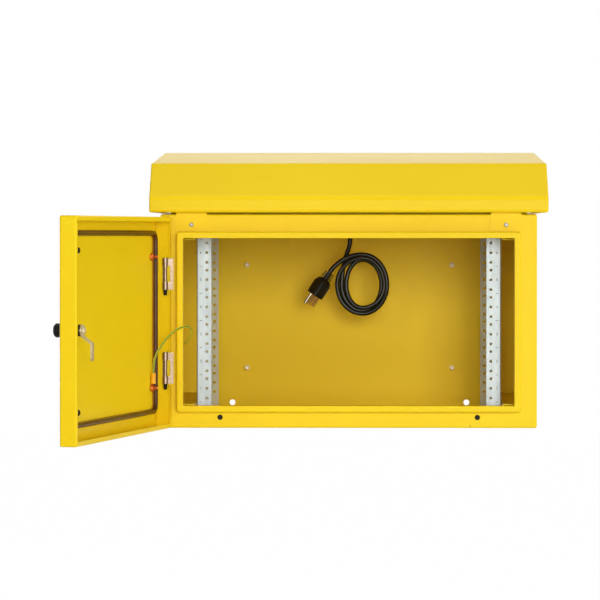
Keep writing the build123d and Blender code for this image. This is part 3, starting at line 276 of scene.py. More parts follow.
wire_line = nurbs_line("ground_wire_line", wire_points, wire_diameter, bevel_resolution=4)
wire_mesh = mesh_of(wire_line)
bpy.data.objects.remove(wire_line)
wire_mesh.name = "ground_lead"
stripe = wire_mesh.attributes.new("stripe", "FLOAT", "POINT")
for point, value in zip(wire_mesh.vertices, stripe.data):
    value.value = float(point.index % ring_count in striped)
shade_smooth(wire_mesh)
ground_lead = add_object("ground_lead", wire_mesh)
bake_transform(ground_lead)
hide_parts("ground_wire")
print("ground lead", len(wire_mesh.polygons), "faces")

# %% [markdown]
# ## Helpers for node trees
# A finish is a tree of nodes. Three jobs come up in building such trees, and each gets a helper:
# turning a colour that was picked on a screen into the linear values that nodes use, opening a
# group with its sockets, and mixing two colours.

# %% Helpers for node trees
FLOAT = "NodeSocketFloat"
COLOR = "NodeSocketColor"
VECTOR = "NodeSocketVector"


def srgb(red, green, blue):
    """A colour as it is picked on a screen, 0 to 255, turned to the linear values of nodes."""
    channels = []
    for value in (red / 255, green / 255, blue / 255):
        channels.append(value / 12.92 if value <= 0.04045 else ((value + 0.055) / 1.055) ** 2.4)
    return (*channels, 1.0)


def new_group(name, inputs, outputs):
    """An empty shader node group with typed sockets, its input node and its output node."""
    group = bpy.data.node_groups.new(name, "ShaderNodeTree")
    for label, kind, value in inputs:
        socket = group.interface.new_socket(name=label, in_out="INPUT", socket_type=kind)
        socket.default_value = value
    for label, kind in outputs:
        group.interface.new_socket(name=label, in_out="OUTPUT", socket_type=kind)
    return group, group.nodes.new("NodeGroupInput"), group.nodes.new("NodeGroupOutput")


def mix_colors(tree, factor, first, second):
    """Mix two colours by a factor, and give the result. Each is a socket or a plain colour."""
    mix = tree.nodes.new("ShaderNodeMix")
    mix.data_type = "RGBA"
    tree.links.new(factor, mix.inputs["Factor"])
    for source, number in ((first, 6), (second, 7)):  # the colour sockets, A and B, of a mix
        if isinstance(source, bpy.types.NodeSocket):
            tree.links.new(source, mix.inputs[number])
        else:
            mix.inputs[number].default_value = source
    return mix.outputs[2]


print("a mid grey is", round(srgb(128, 128, 128)[0], 3), "to the nodes")

# %% [markdown]
# ## The shared effect
# Nearly every real surface drifts a little in tone from place to place and has a fine grain that
# breaks up its shine. One node group gives both, so each finish only chooses its sizes. The
# Stretch input squeezes the pattern along one axis, which turns the grain into the fine brushed
# lines of rolled sheet.

# %% The shared effect
mottle, entry, result = new_group(
    "surface_mottle",
    [
        ("Color", COLOR, (0.8, 0.8, 0.8, 1)),
        ("Drift Color", COLOR, (0.7, 0.7, 0.7, 1)),
        ("Drift Scale", FLOAT, 8.0),
        ("Grain Scale", FLOAT, 900.0),
        ("Rough Low", FLOAT, 0.3),
        ("Rough High", FLOAT, 0.45),
        ("Stretch", VECTOR, (1, 1, 1)),
    ],
    [("Color", COLOR), ("Roughness", FLOAT), ("Height", FLOAT)],
)
place = mottle.nodes.new("ShaderNodeTexCoord")
stretch = mottle.nodes.new("ShaderNodeVectorMath")
stretch.operation = "MULTIPLY"
mottle.links.new(place.outputs["Object"], stretch.inputs[0])
mottle.links.new(entry.outputs["Stretch"], stretch.inputs[1])


def pattern(scale_label, detail):
    """A noise over the stretched place, whose scale is an input of the group."""
    noise = mottle.nodes.new("ShaderNodeTexNoise")
    noise.inputs["Detail"].default_value = detail
    noise.inputs["Roughness"].default_value = 0.5
    mottle.links.new(stretch.outputs[0], noise.inputs["Vector"])
    mottle.links.new(entry.outputs[scale_label], noise.inputs["Scale"])
    return noise.outputs[0]


drift = pattern("Drift Scale", detail=3.0)
grain = pattern("Grain Scale", detail=2.0)
share = mottle.nodes.new("ShaderNodeMapRange")
share.inputs["From Min"].default_value = 0.35
share.inputs["From Max"].default_value = 0.65
mottle.links.new(drift, share.inputs["Value"])
tone = mix_colors(mottle, share.outputs[0], entry.outputs["Color"], entry.outputs["Drift Color"])
spread = mottle.nodes.new("ShaderNodeMapRange")
mottle.links.new(drift, spread.inputs["Value"])
mottle.links.new(entry.outputs["Rough Low"], spread.inputs["To Min"])
mottle.links.new(entry.outputs["Rough High"], spread.inputs["To Max"])
mottle.links.new(tone, result.inputs["Color"])
mottle.links.new(spread.outputs[0], result.inputs["Roughness"])
mottle.links.new(grain, result.inputs["Height"])
print("group", mottle.name, "has", len(mottle.nodes), "nodes")

# %% [markdown]
# ## A finish
# Each finish is one Principled shader fed by the shared group: two tones that drift into each
# other, a roughness that drifts with them, and a grain that a Bump node turns into relief. Values
# that are the same all over, such as metalness or the strength of the shine, sit on the shader
# itself.

# %% A finish
def finish(name, color, drift_color, drift, grain, rough, bump, stretch=(1, 1, 1), **uniform):
    """A material on the shared group. drift and grain are scales, bump is in millimetres."""
    material = bpy.data.materials.new(name)
    material.use_nodes = True
    material.diffuse_color = srgb(*color)
    tree = material.node_tree
    shader = tree.nodes["Principled BSDF"]
    group = tree.nodes.new("ShaderNodeGroup")
    group.node_tree = mottle
    for label, value in (
        ("Color", srgb(*color)), ("Drift Color", srgb(*drift_color)), ("Drift Scale", drift),
        ("Grain Scale", grain), ("Rough Low", rough[0]), ("Rough High", rough[1]),
        ("Stretch", stretch),
    ):
        group.inputs[label].default_value = value
    tree.links.new(group.outputs["Color"], shader.inputs["Base Color"])
    tree.links.new(group.outputs["Roughness"], shader.inputs["Roughness"])
    relief = tree.nodes.new("ShaderNodeBump")
    relief.inputs["Distance"].default_value = bump * MM
    relief.inputs["Strength"].default_value = 1.0
    tree.links.new(group.outputs["Height"], relief.inputs["Height"])
    tree.links.new(relief.outputs["Normal"], shader.inputs["Normal"])
    for label, value in uniform.items():
        shader.inputs[label.replace("_", " ")].default_value = value
    return material


finishes = {}
chosen = [item.name for item in mottle.interface.items_tree if item.in_out == "INPUT"]
print("a finish chooses", ", ".join(chosen))

# %% [markdown]
# ## Paint and plated metal
# Powder coat is sprayed on as a dry powder and melted, which leaves a smooth skin with faint
# ripples like the peel of an orange. Zinc plate is a thin bright metal layer that shows the
# rolling marks of the sheet under it. On the rear rails, deep in the cabinet, it is painted duller
# and yellower: painted shade and a painted reflection of the yellow walls. Hinges, latch, studs and
# blades each have their own tint of metal, and the studs on the back wall are painted paler, a
# painted highlight.

# %% Paint and plated metal
finishes["yellow_paint"] = finish(
    "yellow_powder_coat", (243, 209, 20), (240, 204, 18), drift=3.0, grain=420.0,
    rough=(0.34, 0.44), bump=0.05, Specular_IOR_Level=0.09,
)
finishes["zinc_plate"] = finish(
    "zinc_plated_sheet", (180, 188, 187), (172, 181, 180), drift=25.0, grain=700.0,
    rough=(0.46, 0.56), bump=0.004, stretch=(6, 6, 1), Metallic=0.5,
)
# Painted shade and painted reflection: the rear rails' zinc is coloured duller and yellower than
# the front rails'.
finishes["zinc_with_painted_shade"] = finish(
    "zinc_sheet_with_painted_shade", (180, 176, 142), (170, 166, 132), drift=25.0, grain=700.0,
    rough=(0.5, 0.6), bump=0.004, stretch=(6, 6, 1), Metallic=0.4,
)
finishes["hinge_steel"] = finish(
    "brushed_hinge_steel", (154, 134, 113), (132, 112, 91), drift=60.0, grain=1500.0,
    rough=(0.3, 0.44), bump=0.01, stretch=(1, 1, 6), Metallic=0.8,
)
finishes["bright_fastener"] = finish(
    "dull_zinc_fastener", (166, 164, 160), (144, 140, 134), drift=90.0, grain=2500.0,
    rough=(0.4, 0.55), bump=0.008, Metallic=0.6,
)
# Painted highlight: the back wall's studs are coloured paler than other fasteners for the light
# they catch.
finishes["panel_stud"] = finish(
    "zinc_stud_with_painted_highlight", (252, 240, 204), (236, 222, 182), drift=90.0, grain=2500.0,
    rough=(0.42, 0.55), bump=0.006, Metallic=0.2,
)
finishes["copper_stud"] = finish(
    "copper_plate", (214, 124, 58), (178, 92, 38), drift=120.0, grain=2500.0,
    rough=(0.3, 0.46), bump=0.008, Metallic=0.85,
)
finishes["latch_zinc"] = finish(
    "satin_latch_plate", (216, 204, 168), (196, 184, 150), drift=70.0, grain=2000.0,
    rough=(0.3, 0.44), bump=0.01, Metallic=0.6,
)
finishes["blade_brass"] = finish(
    "blade_brass", (232, 200, 136), (214, 176, 108), drift=100.0, grain=2400.0,
    rough=(0.3, 0.44), bump=0.006, Metallic=0.8,
)
finishes["pin_nickel"] = finish(
    "nickel_pin", (186, 178, 162), (160, 152, 136), drift=100.0, grain=2400.0,
    rough=(0.3, 0.42), bump=0.006, Metallic=0.85,
)
print("metal and paint:", len(finishes), "finishes")

# %% [markdown]
# ## Plastic, rubber and wire
# Moulded plastic is matt with the fine texture of its mould, and rubber takes a soft shine along
# its rounds. The door seal is dark rubber whose brown is partly its own and partly a painted
# reflection of the yellow paint round it. The wire's jacket and the crimp sleeves are smoother and
# brighter.

# %% Plastic, rubber and wire
metal_count = len(finishes)
finishes["black_plastic"] = finish(
    "black_moulded_plastic", (27, 23, 17), (20, 17, 12), drift=40.0, grain=1800.0,
    rough=(0.44, 0.56), bump=0.01, Specular_IOR_Level=0.12,
)
# Painted reflection: the seal's dark rubber is coloured warm brown, partly its own tone and partly
# the yellow paint it reflects.
finishes["seal_rubber"] = finish(
    "bulb_seal_rubber", (84, 50, 12), (68, 40, 9), drift=60.0, grain=1300.0,
    rough=(0.24, 0.34), bump=0.015, Specular_IOR_Level=0.17,
)
finishes["cord_rubber"] = finish(
    "cord_rubber", (24, 24, 15), (31, 30, 19), drift=50.0, grain=2200.0,
    rough=(0.24, 0.34), bump=0.015, Specular_IOR_Level=0.28,
)
finishes["wire_jacket"] = finish(
    "striped_wire_jacket", (214, 206, 44), (206, 196, 38), drift=80.0, grain=2200.0,
    rough=(0.4, 0.5), bump=0.015, Specular_IOR_Level=0.25,
)
finishes["terminal_crimp"] = finish(
    "yellow_crimp_sleeve", (240, 180, 26), (234, 164, 20), drift=110.0, grain=2600.0,
    rough=(0.36, 0.46), bump=0.01, Specular_IOR_Level=0.25,
)
print("plastic and rubber:", len(finishes) - metal_count, "finishes")

# %% [markdown]
# ## Second colours
# Two finishes have a second colour that follows the shape and not the place: the green stripe on
# the wire, and the paler foot of the door's seal. The mesh carries a number at every point, an
# attribute, and the finish mixes the second colour in where that number says so.

# %% Second colours
def tint_by(slot, attribute, color):
    """Mix a second colour into a finish wherever an attribute of the mesh says so."""
    tree = finishes[slot].node_tree
    base = tree.nodes["Principled BSDF"].inputs["Base Color"]
    where = tree.nodes.new("ShaderNodeAttribute")
    where.attribute_name = attribute
    plain = base.links[0].from_socket
    tree.links.new(mix_colors(tree, where.outputs["Fac"], plain, srgb(*color)), base)
    print(slot, "mixes in", color, "by", attribute)


tint_by("wire_jacket", "stripe", (70, 126, 36))
tint_by("seal_rubber", "seal_foot", (168, 118, 30))

# %% [markdown]
# ## Dressing the loaded nodes
# The record names a slot for every node, and the slots have the finishes' names. Three nodes look
# different from the rest of their slot: the coppered nuts on the door, and the two rear rails,
# whose zinc carries painted shade and a painted reflection of the yellow walls.

# %% Dressing the loaded nodes
look_of = {
    **slot_of,
    "door_stud_nuts": "copper_stud",
    # the rear rails take zinc with painted shade and a painted reflection of the yellow walls
    "rear_left_rail": "zinc_with_painted_shade",
    "rear_right_rail": "zinc_with_painted_shade",
}
for node_name, node in nodes.items():
    node.data.materials.clear()
    node.data.materials.append(finishes[look_of[node_name]])
power_cord.data.materials.append(finishes["cord_rubber"])
ground_lead.data.materials.append(finishes["wire_jacket"])
print("dressed", len(nodes), "nodes and two cords with", len(finishes), "finishes")

# %% [markdown]
# ## Helpers for new pieces
# Every new piece is a mesh that is finished where it stands, with its object at the origin, as the
# loaded nodes are. These helpers give points and seats in millimetres, and turn a bmesh into such
# an object that knows which body it moves with.

# %% Helpers for new pieces
def mm(x, y, z):
    """A point given in millimetres, in Blender's metres."""
    return Vector((x, y, z)) * MM


def axes_at(point, x, y, z):
    """A matrix that puts the origin at a point and turns the axes to those directions."""
    return Matrix.Translation(point) @ Matrix((x, y, z)).transposed().to_4x4()


def finish_piece(name, bm, body, slot, stands_for=(), look=None):
    """An object of a bmesh on the body it rides on, in the finish of its slot or look, and the
    nodes it stands for hidden.
    """
    bmesh.ops.remove_doubles(bm, verts=bm.verts, dist=1e-7)
    bmesh.ops.recalc_face_normals(bm, faces=bm.faces)
    mesh = bpy.data.meshes.new(name)
    bm.to_mesh(mesh)
    bm.free()
    shade_smooth(mesh)
    piece = add_object(name, mesh)
    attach(piece, body)
    mesh.materials.append(finishes[look or slot])
    if stands_for:
        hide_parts(*stands_for)
    print("made", name, "with", len(mesh.polygons), "faces")
    return piece


print("one millimetre is", round(mm(1, 0, 0).x, 4), "m")

# %% [markdown]
# ## The open door's own axes
# Many pieces sit on the door, which stands 100.6 degrees open. It is easier to place them on a
# shut door and turn the result, so the door gets axes of its own: along it from the hinge, into
# the cabinet when it is shut, and up, from a point on its outer face beside the hinge pin.

# %% The open door's own axes
open_angle = math.radians(100.6)
along_door = Vector((math.cos(open_angle), -math.sin(open_angle), 0))
into_door = Vector((math.sin(open_angle), math.cos(open_angle), 0))
hinge_pin = mm(-295.3, -510.5, 0)
pin_behind_face = 17.5 * MM  # from the door's outer face
door_seat = axes_at(
    hinge_pin - into_door * pin_behind_face, along_door, into_door, Vector((0, 0, 1))
)
print("the door's outer face starts at", [round(v, 3) for v in door_seat.translation])

# %% [markdown]
# ## The door seal's section
# The door is sealed by a hollow rubber bulb. The solid model shows it as a plain strip, but the
# real one has a flat foot, a pinched waist and a round back that squashes on the collar. Its
# section is drawn once, as a few vertices at the lower end of one side.

# %% The door seal's section
seal_section = [  # across the strip, and behind the door's outer face
    (-4.6, 1.6), (-4.6, 2.6), (-3.2, 3.2), (-3.6, 4.2), (-4.0, 5.6), (-3.8, 7.3), (-2.9, 8.8),
    (-1.5, 9.8), (0.0, 10.15), (1.5, 9.8), (2.9, 8.8), (3.8, 7.3), (4.0, 5.6), (3.6, 4.2),
    (3.2, 3.2), (4.6, 2.6), (4.6, 1.6),
]
seal_low, seal_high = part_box("door_gasket")
seal_middle_u = -hinge_pin.x  # the cabinet's middle, seen from the pin
seal_middle_z = (seal_low.z + seal_high.z) / 2
half_strip = 5 * MM
half_wide = 274.85 * MM
half_high = (seal_high.z - seal_low.z) / 2 - half_strip
seal_corner = 14.0 * MM
seal_bm = bmesh.new()
section_verts = [
    seal_bm.verts.new(
        (
            seal_middle_u + half_wide + across * MM,
            depth * MM,
            seal_middle_z - half_high + seal_corner,
        )
    )
    for across, depth in seal_section
]
front_edges = [
    seal_bm.edges.new((section_verts[index - 1], section_verts[index]))
    for index in [*range(1, len(section_verts)), 0]
]
print("the seal is", round(2 * half_wide, 3), "m wide and", round(2 * half_high, 3), "m high")

# %% [markdown]
# ## Carrying the section round
# The section is pushed along each straight side and spun round each corner, until it meets its
# own start. The sides are pushed in many short steps, which leaves vertices along them for the
# unevenness that comes next.

# %% Carrying the section round
def verts_in(items):
    """The vertices among what an operator made."""
    return [item for item in items if isinstance(item, bmesh.types.BMVert)]


def edges_between(items, verts):
    """The edges among what an operator made that join two of those vertices."""
    edges = [item for item in items if isinstance(item, bmesh.types.BMEdge)]
    return [edge for edge in edges if all(vert in verts for vert in edge.verts)]


corner_steps = 10
closing_gap = 0.02 * MM
straight_up = 2 * (half_high - seal_corner)
straight_across = 2 * (half_wide - seal_corner)
sides = (  # the way a side runs, its length, its steps, and the corner that it ends in
    ((0, 0, 1), straight_up, 60, (1, 1)),
    ((-1, 0, 0), straight_across, 110, (-1, 1)),
    ((0, 0, -1), straight_up, 60, (-1, -1)),
    ((1, 0, 0), straight_across, 110, (1, -1)),
)
for way, run, steps, (side_u, side_z) in sides:
    for _ in range(steps):
        made = bmesh.ops.extrude_edge_only(seal_bm, edges=front_edges)["geom"]
        moved = verts_in(made)
        bmesh.ops.translate(seal_bm, verts=moved, vec=Vector(way) * (run / steps))
        front_edges = edges_between(made, moved)
    centre = (
        seal_middle_u + side_u * (half_wide - seal_corner),
        0,
        seal_middle_z + side_z * (half_high - seal_corner),
    )
    ends = list({vert for edge in front_edges for vert in edge.verts})
    turned = bmesh.ops.spin(
        seal_bm, geom=ends + front_edges, cent=centre, axis=(0, -1, 0), angle=math.pi / 2,
        steps=corner_steps,
    )["geom_last"]
    front_edges = [item for item in turned if isinstance(item, bmesh.types.BMEdge)]
bmesh.ops.remove_doubles(seal_bm, verts=seal_bm.verts, dist=closing_gap)
print("the seal has", len(seal_bm.verts), "vertices")

# %% [markdown]
# ## The seal's foot and its unevenness
# The foot is paler, where its glue shows, so each vertex says whether it belongs to the foot. A
# rubber bulb is never quite even either. Seeded random moves of a few hundredths of a millimetre
# break up its shine, and the same seed gives the same seal every time.

# %% The seal's foot and its unevenness
foot_top = 3.4 * MM
soft_from = 5 * MM  # only the bulb is uneven, not the foot
unevenness = 0.06  # millimetres
foot_share = seal_bm.verts.layers.float.new("seal_foot")
random.seed(12)
for vert in seal_bm.verts:
    vert[foot_share] = float(vert.co.y < foot_top)
    if vert.co.y > soft_from:
        vert.co.y += random.uniform(-unevenness, unevenness) * MM
bmesh.ops.transform(seal_bm, matrix=door_seat, verts=seal_bm.verts)
finish_piece("door_seal", seal_bm, "door", "seal_rubber", ["door_gasket"])

# %% [markdown]
# ## The plug's rings
# A moulded three-pin plug is one soft block of rubber round its cord: a ribbed neck that lets the
# cord bend, shoulders that widen to the body, grip ribs on the sides, and a flat face. A mould
# designer describes it by rings across it, one after another, and so does this list.

# %% The plug's rings
plug_profile = [  # distance along it, half width, half thickness, squareness, and rib height
    (0.0, 4.0, 4.0, 2.0), (0.2, 4.3, 4.3, 2.0),
]
fin_pitch = 3.1
fin_growth = 0.5
for fin in range(4):
    start = 0.3 + fin_pitch * fin
    reach = 9.3 + fin_growth * fin
    plug_profile += [
        (start, 4.3, 4.3, 2.0), (start + 0.1, 5.2, reach, 2.6), (start + 1.7, 5.2, reach, 2.6),
        (start + 1.8, 4.3, 4.3, 2.0), (start + 3.0, 4.3, 4.3, 2.0),
    ]
plug_profile += [
    (12.9, 7.8, 7.4, 2.2), (14.2, 9.6, 8.6, 2.5), (16.5, 11.6, 10.1, 3.0), (19.0, 12.6, 10.8, 3.5),
    (21.0, 12.9, 11.0, 4.0, 0.0), (22.0, 12.9, 11.0, 4.2, 0.7), (41.0, 12.9, 11.0, 4.4, 0.7),
    (42.0, 12.9, 11.0, 4.4, 0.0), (42.3, 13.4, 11.4, 4.6), (45.6, 13.4, 11.4, 4.6),
    (46.2, 13.0, 11.0, 4.6), (46.4, 12.2, 10.2, 4.6),
]
print("the plug is described by", len(plug_profile), "rings")

# %% [markdown]
# ## The plug
# Each ring is a soft rectangle of points, an ellipse whose sides are squared up, and bridge_loops
# joins it to the next. The plug hangs from the cord's end, leaning to the left, and is turned so
# that one blade stands in front of the other.

# %% The plug
plug_lean = math.radians(33.5)
plug_turn = math.radians(35.0)
plug_way = Vector((-math.sin(plug_lean), 0, -math.cos(plug_lean)))
plug_across = Vector((math.cos(plug_lean), 0, -math.sin(plug_lean)))
blade_way = plug_across * math.sin(plug_turn) + Vector((0, -math.cos(plug_turn), 0))
plug_seat = axes_at(mm(-33.6, -129.0, 74.6), blade_way, plug_way.cross(blade_way), plug_way)
ring_points = 96
grip_ribs = 24
grip_half = 12  # the grip's mean half width, which a rib's height is measured against


def rounded(value, power):
    """A sine or cosine raised to a power that keeps its sign, which squares an ellipse."""
    return math.copysign(abs(value) ** power, value)


def plug_ring(bm, distance, half_width, half_thickness, squareness, rib=0.0):
    """One ring across the plug. Squareness 2 is an ellipse, 5 a soft rectangle."""
    ring = []
    for index in range(ring_points):
        turn = math.tau * index / ring_points
        power = 2 / squareness
        swell = 1 + rib / grip_half * max(0, math.sin(turn * grip_ribs))
        x = rounded(math.cos(turn), power) * half_width * swell
        y = rounded(math.sin(turn), power) * half_thickness * swell
        ring.append(bm.verts.new((x * MM, y * MM, distance * MM)))
    return [bm.edges.new((ring[index - 1], ring[index])) for index in range(ring_points)]


plug_bm = bmesh.new()
rings = [plug_ring(plug_bm, *ring) for ring in plug_profile]
for near, far in zip(rings, rings[1:]):
    bmesh.ops.bridge_loops(plug_bm, edges=near + far)
for end_ring in (rings[0], rings[-1]):
    bmesh.ops.contextual_create(plug_bm, geom=end_ring)
bmesh.ops.transform(plug_bm, matrix=plug_seat, verts=plug_bm.verts)
moulded_plug = finish_piece("moulded_plug", plug_bm, "cabinet", "cord_rubber", ["plug_body"])

# %% [markdown]
# ## Turned shapes
# Sleeves, washers, screw heads and hole plugs are all turned shapes: an outline spun once about an
# axis. One helper spins any outline and moves it to its seat, and another makes the seat, which is
# a point with an upward direction.

# %% Turned shapes
turned_steps = 24  # faces round a small turned shape


def lathe(bm, outline, seat, steps=turned_steps):
    """Spin an outline of (radius, height) points, in millimetres, about a seat's Z axis."""
    verts = [bm.verts.new((radius * MM, 0, height * MM)) for radius, height in outline]
    edges = [bm.edges.new(pair) for pair in zip(verts, verts[1:])]
    bmesh.ops.spin(
        bm, geom=verts + edges, cent=(0, 0, 0), axis=(0, 0, 1), angle=math.tau, steps=steps,
        use_merge=True,
    )
    made = set(verts)
    reached = list(verts)
    while reached:
        for edge in reached.pop().link_edges:
            for other in edge.verts:
                if other not in made:
                    made.add(other)
                    reached.append(other)
    bmesh.ops.remove_doubles(bm, verts=list(made), dist=1e-7)
    bmesh.ops.transform(bm, matrix=seat, verts=[vert for vert in made if vert.is_valid])


def seat_at(point, up, across=None):
    """A seat at a point, with Z turned to up and X as near to across as it can be."""
    z = Vector(up).normalized()
    x = Vector(across) if across else z.orthogonal()
    x = (x - z * x.dot(z)).normalized()
    return axes_at(Vector(point), x, z.cross(x), z)


print("small turned shapes have", turned_steps, "faces round them")

# %% [markdown]
# ## Screw threads
# A thread is a small V that climbs its own height with every turn. Spin can carry a section up as
# it turns it, so a short V gives a whole thread. The solid model has plain rods there, because
# threads are too fine for a machine to cut from the drawing and matter only to the eye.

# %% Screw threads
pitch = 0.8  # how far a thread climbs in a turn, in millimetres
turn_steps = 18


def threaded_rod(bm, seat, diameter, start, end):
    """A thread from start to end along a seat's Z, in millimetres, with a chamfered tip."""
    crest = diameter / 2
    root = crest - 0.6 * pitch
    turns = int((end - start) / pitch) - 1
    before = set(bm.verts)
    groove = [(root, 0), (crest, 0.4), (crest, 0.6), (root, 1.0)]
    verts = [bm.verts.new(mm(radius, 0, start + share * pitch)) for radius, share in groove]
    edges = [bm.edges.new(pair) for pair in zip(verts, verts[1:])]
    bmesh.ops.spin(
        bm, geom=verts + edges, cent=(0, 0, 0), axis=(0, 0, 1), angle=math.tau * turns,
        dvec=(0, 0, pitch * MM / turn_steps), steps=turn_steps * turns,
    )
    thread = [vert for vert in bm.verts if vert not in before]
    bmesh.ops.remove_doubles(bm, verts=thread, dist=0.001 * MM)
    bmesh.ops.transform(bm, matrix=seat, verts=[vert for vert in thread if vert.is_valid])
    core = root + 0.05
    tip = [(0, end), (root - 0.3, end), (core, end - 0.6), (core, start), (0, start)]
    lathe(bm, tip, seat, steps=turn_steps)


print("threads climb", pitch, "mm a turn, in", turn_steps, "steps")

# %% [markdown]
# ## Studs on the back wall
# Four studs on the back wall take an equipment panel. Each is welded on, so it stands in a small
# collar of metal that was pressed out of the weld, with a short plain shank over it. Their finish
# is painted paler than other fasteners, a painted highlight for the light they catch deep in the
# cabinet.

# %% Studs on the back wall
collar_height = 1.2


def stud_with_collar(bm, seat, diameter, length, collar):
    """A welded stud: its weld collar, a plain shank, and a thread up to its tip."""
    shank_top = collar_height + 1.0
    lathe(bm, [
        (0, 0), (collar, 0), (collar, collar_height * 0.6), (diameter / 2 + 0.2, collar_height),
        (diameter / 2 - 0.1, shank_top), (0, shank_top),
    ], seat)
    threaded_rod(bm, seat, diameter, collar_height + 0.6, length)


panel_stud = {"diameter": 6.0, "length": 20.0, "collar": 4.5}
back_sheet = 1.9
out_of_front = (0, -1, 0)
panel_stud_bm = bmesh.new()
for x in (-177.8, 177.8):
    for z in (-91.4, 86.4):
        seat = seat_at(mm(x, -back_sheet, z), out_of_front)
        stud_with_collar(panel_stud_bm, seat, **panel_stud)
finish_piece(
    "threaded_panel_studs", panel_stud_bm, "cabinet", slot_of["panel_studs"], ["panel_studs"],
    look="panel_stud",
)

# %% [markdown]
# ## The latch's bolt
# A hexagon bolt with a washer under it holds the cam on its spindle, and turns with both. The
# hexagon is a six-sided cone of even width with its edges chamfered, and a low dome on top is the
# end of its shank.

# %% The latch's bolt
washer = [(0, -3.0), (8.4, -3.0), (8.6, -2.7), (8.4, -1.7), (6.6, -1.5), (0, -1.5)]
dome = [(3.0, 2.4), (3.0, 3.6), (2.4, 4.1), (0, 4.3)]
hexagon_radius = 6.8 * MM
hexagon_height = 5.0 * MM
chamfer = 0.7 * MM
bolt_low, bolt_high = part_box("latch_bolt")
bolt_seat = seat_at((bolt_low + bolt_high) / 2, into_door)
latch_bolt_bm = bmesh.new()
lathe(latch_bolt_bm, washer, bolt_seat, steps=36)
hexagon = bmesh.ops.create_cone(
    latch_bolt_bm, cap_ends=True, segments=6, radius1=hexagon_radius, radius2=hexagon_radius,
    depth=hexagon_height, matrix=bolt_seat,
)["verts"]
bmesh.ops.bevel(
    latch_bolt_bm, geom=list({edge for vert in hexagon for edge in vert.link_edges}),
    offset=chamfer, segments=2, profile=0.5, affect="EDGES", material=-1,
)
lathe(latch_bolt_bm, dome, bolt_seat)
finish_piece("flanged_latch_bolt", latch_bolt_bm, "latch", "latch_zinc", ["latch_bolt"])

# %% [markdown]
# ## Studs for the ground wire
# Two shorter studs on the door and one on the left wall take the ground wire's terminals. They
# are made like the others. The wall's stud starts at the sheet, so its place comes from the left
# side of its node's box.

# %% Studs for the ground wire
ground_stud = {"diameter": 5.0, "length": 13.0, "collar": 4.0}
door_sheet = 1.5
door_stud_bm = bmesh.new()
for z in (104.0, -106.5):
    seat = seat_at(door_seat @ mm(36.0, door_sheet, z), into_door)
    stud_with_collar(door_stud_bm, seat, **ground_stud)
finish_piece("threaded_door_studs", door_stud_bm, "door", slot_of["door_studs"], ["door_studs"])

wall_stud_bm = bmesh.new()
wall_low, wall_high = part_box("wall_ground_stud")
wall_middle = (wall_low + wall_high) / 2
wall_spot = Vector((wall_low.x, wall_middle.y, wall_middle.z))
stud_with_collar(wall_stud_bm, seat_at(wall_spot, (1, 0, 0)), **ground_stud)
finish_piece(
    "threaded_wall_stud", wall_stud_bm, "cabinet", slot_of["wall_ground_stud"], ["wall_ground_stud"]
)

# %% [markdown]
# ## Door knuckles
# The door's own knuckle is a slim sleeve that shows in the window of each hinge leaf, between the
# leaf's two thicker knuckles, with a foot along the door's rim.

# %% Door knuckles
knuckle_half = 12.7
sleeve = [
    (2.56, -knuckle_half), (2.95, -knuckle_half), (2.95, knuckle_half), (2.56, knuckle_half),
    (2.56, -knuckle_half),
]
foot_size = (2.0, 5.0, 2 * knuckle_half)
foot_middle = mm(-3.7, -2.5, 0)
knuckle_bm = bmesh.new()
for level in (75.9, -75.9):
    seat = door_seat @ Matrix.Translation(Vector((0, pin_behind_face, level * MM)))
    lathe(knuckle_bm, sleeve, seat)
    foot = bmesh.ops.create_cube(knuckle_bm, size=MM)["verts"]
    bmesh.ops.scale(knuckle_bm, verts=foot, vec=foot_size)
    bmesh.ops.transform(knuckle_bm, matrix=seat @ Matrix.Translation(foot_middle), verts=foot)
finish_piece(
    "slim_door_knuckles", knuckle_bm, "door", "hinge_steel",
    ["upper_door_knuckle", "lower_door_knuckle"],
)

# %% [markdown]
# ## Hole plugs
# A hole plug is one push-in piece of plastic: a flat head outside, a neck in the sheet, and a
# domed barb that spreads inside and holds it.

# %% Hole plugs
plug_outline = [
    (0, -1.6), (3.4, -1.6), (4.3, -0.2), (4.3, 0), (3.0, 0), (3.0, 1.5), (4.9, 1.5), (5.0, 2.4),
    (4.4, 4.4), (2.8, 5.8), (0, 6.3),
]
head_radius = 4.3 * MM
plugs_low, plugs_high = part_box("door_plugs")
plug_u = (door_seat.inverted() @ ((plugs_low + plugs_high) / 2)).x
hole_plug_bm = bmesh.new()
for level in (plugs_low.z + head_radius, plugs_high.z - head_radius):
    seat = seat_at(door_seat @ Vector((plug_u, 0, level)), into_door)
    lathe(hole_plug_bm, plug_outline, seat, steps=32)
finish_piece("barbed_door_plugs", hole_plug_bm, "door", "black_plastic", ["door_plugs"])

# %% [markdown]
# ## Cross-recess screws
# The hood is held by four pan-head screws with a cross recess. The head is spun from its outline,
# the cross is cut into its top, and the little tapered walls of the recess catch the light.

# %% Cross-recess screws
screw_head = 3.5  # the radius of the head and its height, in millimetres
screw_top = 2.2
shank = 2.0  # the radius of the shank and its length
screw_length = 9.0
screw_outline = [
    (0, -screw_length), (shank - 0.4, -screw_length), (shank, -screw_length + 0.6), (shank, 0),
    (screw_head, 0), (screw_head, screw_top * 0.45), (screw_head - 0.25, screw_top * 0.75),
    (screw_head - 0.9, screw_top * 0.97), (1.9, screw_top),
]
cross_reach = 1.45
cross_half = 0.38
cross_corners = ((cross_reach, -cross_half), (cross_reach, cross_half), (cross_half, cross_half))
recess_depth = 1.1
recess_taper = 0.72


